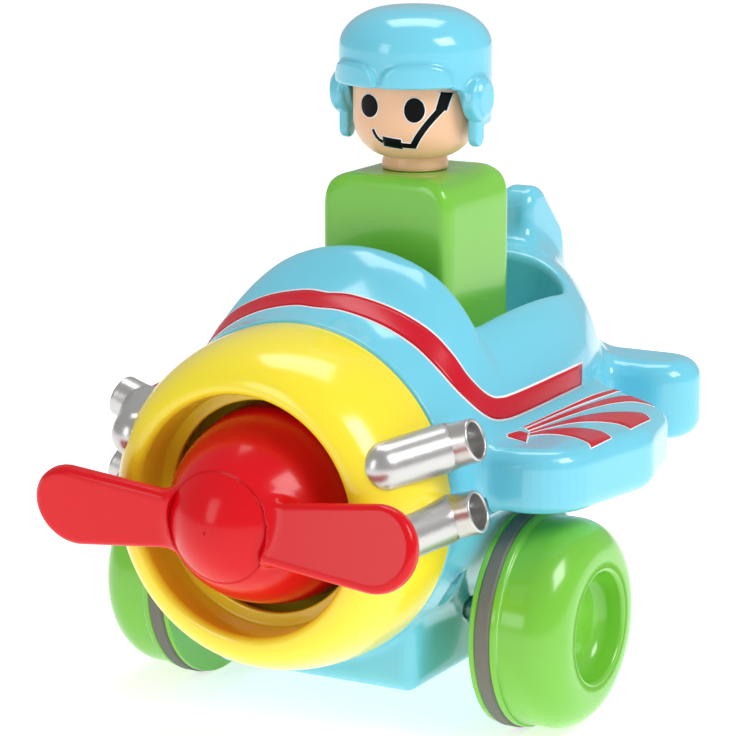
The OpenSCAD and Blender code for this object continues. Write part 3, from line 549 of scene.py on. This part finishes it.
# ---------------------------------------------------------------- prints
def spline(points, count):
    """count points along a smooth curve through points, evenly spaced."""
    p = np.asarray(points, dtype=float)
    q = np.vstack([2 * p[0] - p[1], p, 2 * p[-1] - p[-2]])
    fine = []
    for i in range(len(p) - 1):
        t = np.linspace(0, 1, 25, endpoint=False)[:, None]
        a, b, c, d = q[i:i + 4]
        fine.append(b + 0.5 * t * (c - a + t * (2 * a - 5 * b + 4 * c - d + t * (3 * (b - c) + d - a))))
    fine = np.vstack(fine + [p[-1:]])
    run = np.concatenate([[0], np.cumsum(np.linalg.norm(np.diff(fine, axis=0), axis=1))])
    want = np.linspace(0, run[-1], count)
    return np.stack([np.interp(want, run, fine[:, k]) for k in range(p.shape[1])], axis=1)


PRINT_DEPTH = 0.25      # how far a print's underside lies below the surface


def film(name, grid, field, lift, material, body, slot):
    """A thin closed sheet over a grid of points (rows, columns, 3), laid on the surface field = 0."""
    rows, columns = grid.shape[:2]
    flat, normal = pulled_to(field, grid.reshape(-1, 3), steps=6, reach=2.0)
    top = flat + normal * lift
    under = flat - normal * PRINT_DEPTH
    faces = grid_faces(rows, columns)
    middle = len(faces) // 2
    corner = faces[middle, 0]
    turn = np.cross(top[faces[middle, 1]] - top[corner], top[faces[middle, 3]] - top[corner])
    if turn @ normal[corner] < 0:
        faces = faces[:, ::-1]
    count = rows * columns
    rim = ([j for j in range(columns)] + [i * columns + columns - 1 for i in range(1, rows)]
           + [(rows - 1) * columns + j for j in range(columns - 2, -1, -1)]
           + [i * columns for i in range(rows - 2, 0, -1)])
    rim = np.array(rim)
    after = np.roll(rim, -1)
    edge = {(a, b) for f in faces for a, b in zip(f, np.roll(f, -1))}
    if (int(rim[0]), int(after[0])) in edge:
        walls = np.stack([after, rim, rim + count, after + count], axis=1)
    else:
        walls = np.stack([rim, after, after + count, rim + count], axis=1)
    all_faces = np.concatenate([faces, faces[:, ::-1] + count, walls])
    add_mesh(name, np.vstack([top, under]), all_faces, material, body, slot)


def band(left, right, columns=7):
    """Grid between two edges with the same number of points."""
    share = np.linspace(0, 1, columns)[None, :, None]
    return left[:, None, :] * (1 - share) + right[:, None, :] * share


def grown(left, right, extra):
    """The two edges moved apart, and out at both ends, by extra."""
    across = right - left
    across /= np.maximum(np.linalg.norm(across, axis=1), 1e-6)[:, None]
    left, right = left - across * extra, right + across * extra
    for line in (left, right):
        line[0] += (line[0] - line[1]) / max(np.linalg.norm(line[0] - line[1]), 1e-6) * extra
        line[-1] += (line[-1] - line[-2]) / max(np.linalg.norm(line[-1] - line[-2]), 1e-6) * extra
    return left, right


def mirrored(grid):
    return grid * np.array([-1.0, 1.0, 1.0])


def sides(name, grid, field, lift, material, body, slot):
    """One print and its mirror image."""
    film(name + "_left", grid, field, lift, material, body, slot)
    film(name + "_right", mirrored(grid), field, lift, material, body, slot)


WHITE_LIFT, COLOUR_LIFT = 0.07, 0.14    # how far the layers of a body print stand proud
FACE_EDGE_LIFT, FACE_LIFT = 0.06, 0.12
OUTLINE = 0.55         # width of the pale line round a body print


def main_stripe():
    """The stripe over the hump's front, down to the wing root, and back along the side."""
    half = [[0, -38.8, 107.0], [5, -38.2, 107.1], [10.6, -37.9, 106.2], [18.8, -37.3, 103.8],
            [26.8, -36.7, 99.8], [32.8, -36.2, 94.6], [36.4, -34.8, 89.9], [38.7, -31.0, 85.6],
            [40.1, -25.6, 82.0],
            [40.9, -20.5, 80.9], [41.3, -14, 80.7], [41.7, -3, 80.9], [41.8, 8, 81.1], [41.3, 17, 81.0],
            [40.7, 23.0, 80.8]]
    whole = [[-x, y, z] for x, y, z in half[:0:-1]] + half
    line, normal = pulled_to(skin, spline(whole, 260), steps=6)
    along = np.gradient(line, axis=0)
    along /= np.linalg.norm(along, axis=1)[:, None]
    across = np.cross(normal, along)
    width = 2.6 + 0.5 * np.clip((np.abs(line[:, 2]) - 84) / 10, 0, 1)[:, None]
    left, right = line - across * width, line + across * width
    # both ends are cut at a slant, longer at the top
    for edge in (left, right):
        reach = 3.0 if edge[-1, 2] > line[-1, 2] else 0.5
        edge[-1] += along[-1] * reach
        edge[0] -= along[0] * reach
    film("stripe_white", band(*grown(left.copy(), right.copy(), OUTLINE)), skin, WHITE_LIFT, white_print,
         "airframe", "sky_plastic")
    film("stripe_red", band(left, right), skin, COLOUR_LIFT, red_print, "airframe", "sky_plastic")


# Curved streaks of the wing-top fan as two edges each, [x, y] on the left wing
FAN = [
    ([[43.0, -16.6], [43.0, -3.2], [43.0, 12.7], [43.0, 29.0], [43.8, 38.8]],
     [[43.6, -14.0], [43.9, 0.5], [44.1, 13.5], [44.6, 28.5], [45.6, 37.6]]),
    ([[44.2, -15.0], [44.6, -3], [45.0, 8], [45.6, 18.5], [46.8, 27], [49.2, 32.2], [52.2, 33.2],
      [55.6, 31.6], [60.4, 26.2]],
     [[45.0, -15.4], [45.8, -4.5], [46.6, 5.5], [47.8, 14.5], [49.6, 21.6], [52.2, 26.0], [54.4, 27.6],
      [57.4, 27.2], [60.6, 25.8]]),
    ([[45.6, -15.6], [46.8, -7], [48.0, 0.2], [49.6, 6.4], [51.9, 11.2], [55.0, 14.4], [58.6, 16.4],
      [61.9, 16.3], [65.6, 12.4]],
     [[46.2, -16.2], [47.8, -9.2], [49.6, -3.9], [52.0, 0.2], [55.5, 2.6], [60.1, 3.1], [62.4, 2.2],
      [64.2, 1.0], [66.0, -0.6]]),
    ([[46.6, -17.3], [47.8, -13.2], [49.7, -9.6], [52.2, -7.1], [54.9, -5.9], [58.2, -5.8], [61.6, -7.2],
      [65.4, -10.8]],
     [[47.3, -19.0], [49.0, -16.4], [51.7, -14.8], [54.9, -14.7], [57.5, -15.3], [60.2, -16.8],
      [62.6, -18.6], [65.0, -20.6]]),
]
FAN_ROOT = ([[43.1, -23.6], [43.5, -20.6], [44.2, -18.2], [46.0, -17.4]],
            [[43.9, -24.6], [45.8, -24.2], [47.8, -24.8], [49.6, -25.8]])


def wing_fan():
    """Streaks on both wing tops, each with a white outline."""
    top = WING_Z + WING_T
    for k, (one, two) in enumerate(FAN + [FAN_ROOT]):
        edges = [spline([[x, y, top] for x, y in edge], 40) for edge in (one, two)]
        name = f"wing_streak_{k}" if k < len(FAN) else "wing_streak_root"
        sides(name + "_white", band(*grown(edges[0].copy(), edges[1].copy(), OUTLINE)), skin,
              WHITE_LIFT - 0.005 * k, white_print, "airframe", "sky_plastic")
        sides(name + "_red", band(*edges), skin,
              COLOUR_LIFT + 0.005 * k, red_print, "airframe", "sky_plastic")


# ---------------------------------------------------------------- shells, cowl and propeller
def make_shells():
    upper = net(upper_shell, (-72, COWL_REAR, TAIL_Z - 2), (72, 95, 122), voxel=0.7)
    add_mesh("fuselage_top", *upper, sky_plastic, "airframe", "sky_plastic", ("upper_shell",))
    lower = net(lower_shell, (-46, COWL_REAR, 4), (46, 95, SPLIT_Z + 1), voxel=0.75)
    add_mesh("fuselage_bottom", *lower, sky_plastic, "airframe", "sky_plastic", ("lower_shell",))


def make_cowl():
    depth = COWL_REAR - COWL_FRONT
    lip = 2.0
    floor = 16.0
    profile = ([[COWL_R - WALL, 0], [COWL_R, 0]]
               + arc((MOUTH_R + lip, 1.2), (COWL_R - MOUTH_R - lip, depth - 1.2), 0, 90, 40)
               + arc((MOUTH_R + lip, depth - lip), lip, 90, 180, 12)[1:]
               + [[MOUTH_R, floor], [26.2, floor], [26.2, floor - 2], [COWL_R - 5.5, floor - 2],
                  [COWL_R - 4.6, 9], [COWL_R - WALL - 0.6, 4]])
    points, faces = lathe(softened(profile), (0, COWL_REAR, SHAFT_Z), (0, -1, 0), 200)
    add_mesh("nose_cowl", points, faces, yellow_plastic, "airframe", "yellow_plastic", ("cowl",))


def spinner_depth(r):
    return (SPINNER_BASE - NOSE) * math.sqrt(max(0.0, 1 - (r / SPINNER_R) ** 2))


BLADE_PLANE = SPINNER_BASE - spinner_depth(CAP_R) + 1.5
blade_plan = Outline(around_circles([[CAP_R + 1, 0, 7.4], [BLADE_R - 10.4, 0, 10.4]]))


def propeller(x, y, z):
    """Hollow spinner with its hub, two pitched blades, the cap's seat and the shaft hole."""
    long = SPINNER_BASE - NOSE
    seat = SPINNER_BASE - spinner_depth(CAP_R)
    across = np.hypot(x, z - SHAFT_Z)
    k = np.sqrt((across / SPINNER_R) ** 2 + ((y - SPINNER_BASE) / long) ** 2)
    slope = np.sqrt((across / SPINNER_R ** 2) ** 2 + ((y - SPINNER_BASE) / long ** 2) ** 2)
    dome = k * (k - 1) / np.maximum(slope, 1e-3)
    inner = np.sqrt((across / (SPINNER_R - 2)) ** 2 + ((y - SPINNER_BASE) / (long - 2)) ** 2)
    solid = np.maximum(dome, y - SPINNER_BASE)
    shell = np.maximum(solid, -np.maximum((inner - 1) * 20, -(seat + 6 - y)))
    hub = np.maximum(across - 5, np.maximum(y - SPINNER_BASE + 1, SPINNER_BASE - 34 - y))
    d = np.minimum(shell, hub)
    side = np.where(x < 0, -1.0, 1.0)
    out, up, along = x * side, (z - SHAFT_Z) * side, y - BLADE_PLANE
    pitch = math.radians(14)
    u = up * math.cos(pitch) + along * math.sin(pitch)
    v = along * math.cos(pitch) - up * math.sin(pitch)
    blade = extruded(blade_plan(out, u), v, 2.3, 1.9)
    d = smooth_min(d, blade, 3.0)
    room = np.maximum(across - CAP_R, y - seat - 0.1)
    d = np.maximum(d, -room)
    shaft_hole = np.maximum(across - 2.5, seat + 4.6 - y)
    return np.maximum(d, -shaft_hole)


def make_propeller():
    mesh = net(propeller, (-53, -93, 34), (53, -54, 88), voxel=0.5)
    add_mesh("propeller_blades", *mesh, red_plastic, "propeller", "red_plastic", ("propeller",))
    seat = spinner_depth(CAP_R)
    dome = [[r, spinner_depth(r) - 0.02] for r in CAP_R * np.cos(np.radians(np.linspace(0, 90, 30)))]
    profile = [[0.0, seat + 0.15], [CAP_R - 0.5, seat + 0.15], [CAP_R - 0.15, seat + 0.3]] + dome[1:]
    profile[-1][0] = 0.0
    points, faces = lathe(profile, (0, SPINNER_BASE, SHAFT_Z), (0, -1, 0), 128)
    add_mesh("spinner_front", points, faces, red_plastic, "propeller", "red_plastic", ("spinner_cap",))


# ---------------------------------------------------------------- exhausts
PIPE_R, LIP_R, BORE_R = 5.95, 5.25, 4.35
UPPER_PIPE = [[34.3, -70, 76.1], [42.3, -53, 78.2], [49.7, -52.5, 80.7]]
LOWER_PIPE = [[37.4, -70, 59], [42.5, -53, 60.8], [50.5, -52.5, 63.4]]


def make_exhaust(name, path, side):
    """A bent pipe stub: round base, straight run, elbow, open mouth with a rounded lip."""
    base, knee, tip = (np.array(p) * (side, 1, 1) for p in path)
    start, end = (v / np.linalg.norm(v) for v in (knee - base, tip - knee))
    middle = (start + end) / np.linalg.norm(start + end)
    rows = [(base - start * PIPE_R * math.cos(a), start, PIPE_R * math.sin(a))
            for a in np.radians([4, 12, 22, 34, 46, 58, 70, 80])]
    rows += [(base + (knee - base) * t - start * 1.2, start, PIPE_R) for t in np.linspace(0.1, 1, 12)]
    rows += [(knee - start * 0.5, start * 0.7 + middle * 0.3, PIPE_R), (knee, middle, PIPE_R),
             (knee + end * 0.6, middle * 0.3 + end * 0.7, PIPE_R - 0.15)]
    rows += [(knee + (tip - knee) * t, end, LIP_R + (PIPE_R - LIP_R) * 0.5 * (1 - t) ** 2)
             for t in np.linspace(0.3, 0.9, 8)]
    lip = (LIP_R - BORE_R) / 2
    rows += [(tip - end * (lip - lip * math.sin(a)), end, LIP_R - lip + lip * math.cos(a))
             for a in np.radians([0, 30, 60, 90, 120, 150, 180])]
    rows += [(tip + (knee - tip) * t, end, BORE_R) for t in np.linspace(0.1, 0.85, 8)]
    rows += [(tip + (knee - tip) * 0.9, end, BORE_R * 0.9), (tip + (knee - tip) * 0.9, end, BORE_R * 0.05)]
    segments = 64
    turn = np.arange(segments) * 2 * math.pi / segments
    points = []
    for centre, direction, radius in rows:
        direction = direction / np.linalg.norm(direction)
        u = np.cross(direction, (0, 0, 1.0))
        u /= np.linalg.norm(u)
        v = np.cross(u, direction)
        points.append(centre + radius * (np.cos(turn)[:, None] * u + np.sin(turn)[:, None] * v))
    points = np.vstack(points)
    faces = grid_faces(len(rows), segments, False, True)
    caps = []
    for start in (0, (len(rows) - 1) * segments):
        points = np.vstack([points, points[start:start + segments].mean(axis=0)])
        ring = start + np.arange(segments)
        centre = np.full(segments, len(points) - 1)
        pair = (ring, np.roll(ring, -1)) if start == 0 else (np.roll(ring, -1), ring)
        caps.append(np.stack([pair[0], pair[1], centre], axis=1))
    triangles = np.vstack([faces[:, [0, 1, 2]], faces[:, [0, 2, 3]]] + [c[:, ::-1] for c in caps])
    add_mesh(name.replace("exhaust", "pipe"), points, triangles, silver_paint, "airframe", "silver_paint",
             (name,))


# ---------------------------------------------------------------- wheels
def make_wheel(side, word):
    """One front wheel: inner flange, band groove, outer flange, and a fat body with a dished face."""
    width = WHEEL_OUT - WHEEL_IN
    body_r, shoulder, dish_r, dish = WHEEL_R - 1.2, 9.5, 13.7, 7.0
    lip_r, lip_w, band_w, shaft_r = WHEEL_R - 0.35, 1.6, 4.0, 2.5
    rim = lip_w * 2 + band_w
    profile = ([[shaft_r, 0], [lip_r, 0], [lip_r, lip_w], [WHEEL_R - 2, lip_w],
                [WHEEL_R - 2, lip_w + band_w], [lip_r, lip_w + band_w], [lip_r, rim], [body_r, rim + 0.6]]
               + arc((body_r - shoulder, width - shoulder), shoulder, 0, 90, 24)
               + [[dish_r + 1.2, width]] + arc((dish_r + 1.2, width - 1.2), 1.2, 90, 180, 8)
               + arc((dish_r - 4.4, width - dish + 3.8), 3.8, 0, -90, 12)
               + [[0, width - dish], [0, width - 9.2], [shaft_r, width - 9.2]])
    points, faces = lathe(softened(profile, 0.35), (side * WHEEL_IN, AXLE_Y, AXLE_Z), (side, 0, 0), 200)
    add_mesh(f"wheel_body_{word}", points, faces, green_plastic, "front_axle", "green_plastic",
             (f"wheel_{word}",))


# ---------------------------------------------------------------- pilot
pilot_front = Outline(around_circles([[s * (PILOT_W / 2 - 9), PILOT_TOP - 9, 9] for s in (-1, 1)]
                                     + [[s * (PILOT_W / 2 - 0.5), 79, 0.5] for s in (-1, 1)]))


def pilot_block(x, y, z):
    plan = cube(x, y - PILOT_Y, 0 * z,
                (-PILOT_W / 2, -PILOT_D / 2, -50), (PILOT_W / 2, PILOT_D / 2, 50), 4.0)
    d = smooth_max(plan, pilot_front(x, z), 3.5)
    inside = cube(x, y - PILOT_Y, z, (-PILOT_W / 2 + WALL, -PILOT_D / 2 + WALL, 60),
                  (PILOT_W / 2 - WALL, PILOT_D / 2 - WALL, 127), 2.0)
    d = np.maximum(d, -inside)
    posts = np.minimum(np.hypot(x - 11, y - PILOT_Y), np.hypot(x + 11, y - PILOT_Y)) - 3
    d = np.minimum(d, np.maximum(posts, np.maximum(84.5 - z, z - 128)))
    neck = np.maximum(np.hypot(x, y - HEAD_Y) - 4, PILOT_TOP - 10 - z)
    return np.maximum(d, -neck)


HEAD_PROFILE = ([[0.05, 125.6], [3.9, 125.6], [3.9, 133.6], [8.2, 133.6], [8.5, 134.2], [8.5, 135.4],
                 [8.2, 136.4]]
                + arc((5.7, 147.0), (HEAD_R - 5.7, 10.4), -76, 0, 20)
                + [[HEAD_R, 160.5], [13.5, 166.5], [0.05, 169.5]])


def head_radius(z):
    profile = np.array(HEAD_PROFILE[6:])
    return np.interp(z, profile[:, 1], profile[:, 0])


def head_front(x, y, z):
    return np.hypot(x, y - HEAD_Y) - head_radius(z)


def on_face(points):
    """Points [x, z] of a face drawing, put near the front of the head."""
    p = np.asarray(points, dtype=float)
    r = head_radius(p[..., 1])
    y = HEAD_Y - np.sqrt(np.maximum(r * r - p[..., 0] ** 2, 1))
    return np.stack([p[..., 0], y, p[..., 1]], axis=-1)


def face_line(points, width, count=30):
    """Two edges along a line drawn on the face."""
    line = spline(points, count) if len(points) > 2 else np.linspace(points[0], points[1], count)
    along = np.gradient(line, axis=0)
    along /= np.linalg.norm(along, axis=1)[:, None]
    across = np.stack([-along[:, 1], along[:, 0]], axis=1) * width / 2
    return line - across, line + across


def face_print(name, left, right, extra=0.22):
    """A black mark on the face with a thin pale outline."""
    wide = grown(left.copy(), right.copy(), extra)
    film(name + "_edge", on_face(band(*wide)), head_front, FACE_EDGE_LIFT, white_print, "pilot",
         "skin_plastic")
    film(name, on_face(band(left, right)), head_front, FACE_LIFT, black_print, "pilot", "skin_plastic")


def eye(name, x, z, a, b):
    """An oval: a square grid drawn round into a disc."""
    u, v = np.meshgrid(np.linspace(-1, 1, 15), np.linspace(-1, 1, 15), indexing="ij")
    disc = np.stack([u * np.sqrt(1 - v * v / 2), v * np.sqrt(1 - u * u / 2)], axis=-1)
    layers = (("_edge", 0.25, FACE_EDGE_LIFT, white_print), ("", 0.0, FACE_LIFT, black_print))
    for part, extra, lift, material in layers:
        film(name + part, on_face(disc * (a + extra, b + extra) + (x, z)), head_front, lift, material,
             "pilot", "skin_plastic")


def make_pilot():
    mesh = net(pilot_block, (-20, -8, 78), (20, 29, 134), voxel=0.6)
    add_mesh("pilot_block", *mesh, green_plastic, "pilot", "green_plastic", ("pilot_body",))
    points, faces = lathe(softened(HEAD_PROFILE, 0.3), (0, HEAD_Y, 0), (0, 0, 1), 128)
    add_mesh("pilot_face", points, faces, skin_plastic, "pilot", "skin_plastic", ("pilot_head",))
    mesh = net(helmet, (-24, HEAD_Y - 22, 138), (24, HEAD_Y + 22, 177), voxel=0.4)
    add_mesh("pilot_cap", *mesh, sky_plastic, "pilot", "sky_plastic", ("pilot_helmet",))
    eye("eye_right", -5.1, 150.8, 2.9, 2.9)
    eye("eye_left", 7.2, 150.3, 2.3, 3.1)
    face_print("smile", *face_line([[-3.9, 145.0], [-3.2, 143.4], [-2.3, 142.4], [-1.4, 141.9]], 0.9))
    face_print("microphone", *face_line([[-1.3, 142.1], [3.6, 141.5]], 2.6, 8))
    face_print("boom_low", *face_line([[3.3, 141.3], [6.5, 141.0]], 1.3, 8))
    face_print("boom", *face_line([[6.0, 140.8], [12.6, 150.6]], 1.4, 24))
    # painted shadow: a black line along the helmet's right edge, where the boom print ends, stands in for
    # the shade in the gap between helmet and face; it has the same thin pale outline as the other face marks
    face_print("painted_helmet_gap_shadow", *face_line([[12.5, 150.2], [13.4, 154.6]], 1.9, 10))


# ---------------------------------------------------------------- helmet
helmet_side = Outline([[-40, 120], [-40, BROW_Z - 0.4], [-11.5, BROW_Z], [-7.5, BROW_Z - 1.2],
                       [-4.4, BROW_Z - 5.5], [-2.8, 147.5], [-2.6, 120]])


def helmet(x, y, z):
    y = y - HEAD_Y
    across = np.hypot(x, y)
    crown = extruded(across - HELMET_R, z - (HELMET_TOP + 100) / 2, (HELMET_TOP - 100) / 2, 11.5)
    crown = smooth_max(crown, np.sqrt(across ** 2 + (z - 142) ** 2) - 34.4, 4.0)
    inner = extruded(across - HELMET_R + 2.4, z - (HELMET_TOP + 97.6) / 2, (HELMET_TOP - 102.4) / 2, 10.0)
    # raised goggles: two flat arches over the brow, with a V between them
    turn = np.arctan2(x, -y) * HELMET_R
    arches = ((np.abs((np.abs(turn) - 9.9) / 9.4)) ** 3 + (np.abs(z - BROW_Z + 1.2) / 7.2) ** 3) ** (1 / 3)
    raised = np.maximum(crown - 1.1, -crown - 3)
    shell = smooth_min(crown, smooth_max(raised, (arches - 1) * 7.5, 1.0), 0.8)
    shell = np.where(y < 0, shell, crown)
    ear = y - EAR_Y + HEAD_Y
    cups = np.abs(x) - HELMET_R
    outer_cup = extruded(np.hypot(ear, z - 152.6) - 5.8, cups + 0.5, 2.0, 1.2)
    inner_cup = extruded(np.hypot(ear * 1.15, z - 153) - 4.6, cups + 0.5, 2.9, 0.8)
    past_end = np.maximum(np.maximum(142.8 - z, z - 149), 0)
    strap = extruded(np.hypot(ear, past_end) - 2.3, cups + 0.9, 1.4, 0.9)
    d = smooth_max(shell, -helmet_side(y, z), 0.9)
    d = smooth_max(d, 145.5 - z, 0.8)
    d = np.maximum(d, -inner)
    extras = np.minimum(smooth_min(outer_cup, inner_cup, 0.8), strap)
    extras = np.maximum(extras, -(across - HEAD_R - 0.25))
    return smooth_min(d, extras, 1.0)


# ---------------------------------------------------------------- carried-over CAD pieces
CARRIED = {
    "yellow_plastic": (yellow_plastic, ("engine_bulkhead",)),
    "grey_rubber": (grey_rubber, ("traction_band_left", "traction_band_right")),
    "green_plastic": (green_plastic, ("tail_wheel",)),
    "nylon": (nylon, ("prop_bush", "gearbox_plate_left", "gearbox_plate_right", "swing_arm", "axle_bushes",
                      "plunger")),
    "orange_acetal": (orange_acetal, ("drive_gear", "swing_pinion", "prop_idler")),
    "dark_acetal": (dark_acetal, ("axle_gear", "axle_prop_gear", "cross_shaft", "crown_gear")),
    "steel": (steel, ("gearbox_spacers", "drive_gear_pin", "idler_pin", "gearbox_screws", "shell_screws",
                      "cowl_screws", "tail_wheel_pin", "plunger_screws", "return_spring", "axle",
                      "spinner_screw", "prop_shaft")),
}


def dress_carried():
    for material, names in CARRIED.values():
        for name in names:
            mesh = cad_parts[name].data
            mesh.materials.clear()
            mesh.materials.append(material)


# ---------------------------------------------------------------- stage
FLOOR_GLOW, WORLD_GLOW = 0.62, 0.42


def area_light(name, at, target, size, power):
    light = bpy.data.lights.new(name, "AREA")
    light.shape = "RECTANGLE"
    light.size, light.size_y = size
    light.energy = power
    obj = bpy.data.objects.new(name, light)
    bpy.context.scene.collection.objects.link(obj)
    obj.location = at
    obj.rotation_euler = (Vector(target) - Vector(at)).to_track_quat("-Z", "Y").to_euler()


def make_stage():
    bpy.ops.mesh.primitive_plane_add(size=6, location=(0, 0, -0.0004))
    floor = bpy.context.object
    floor.name = "floor"
    material, shader = principled("floor_white", (0.9, 0.9, 0.9), 0.9)
    shader.inputs["Emission Color"].default_value = (1, 1, 1, 1)
    shader.inputs["Emission Strength"].default_value = FLOOR_GLOW
    floor.data.materials.append(material)
    world = bpy.data.worlds.new("studio")
    bpy.context.scene.world = world
    world.use_nodes = True
    background = world.node_tree.nodes["Background"]
    background.inputs["Color"].default_value = (1, 1, 1, 1)
    background.inputs["Strength"].default_value = WORLD_GLOW
    middle = (0, 0, 0.08)
    area_light("key", (0.62, -0.10, 0.62), middle, (0.34, 0.34), 3.4)
    area_light("top", (-0.1, 0.2, 0.85), middle, (0.5, 0.3), 2.0)
    area_light("front", (-0.30, -0.85, 0.35), middle, (0.25, 0.5), 1.2)


def make_camera():
    at = Vector((0.37222, -0.68842, 0.25252))
    target = Vector((0.0006, -0.0165, 0.0860))
    camera = bpy.data.cameras.new("camera")
    camera.sensor_width = 36.0
    camera.lens = 152.5
    camera.clip_start = 0.05
    obj = bpy.data.objects.new("camera", camera)
    bpy.context.scene.collection.objects.link(obj)
    obj.location = at
    obj.rotation_euler = (target - at).to_track_quat("-Z", "Y").to_euler()
    bpy.context.scene.camera = obj


bpy.context.scene.view_settings.view_transform = "Standard"
make_shells()
make_cowl()
make_propeller()
for side, word in ((1, "left"), (-1, "right")):
    make_exhaust(f"exhaust_{word}_upper", UPPER_PIPE, side)
    make_exhaust(f"exhaust_{word}_lower", LOWER_PIPE, side)
    make_wheel(side, word)
make_pilot()
main_stripe()
wing_fan()
dress_carried()
make_stage()
make_camera()
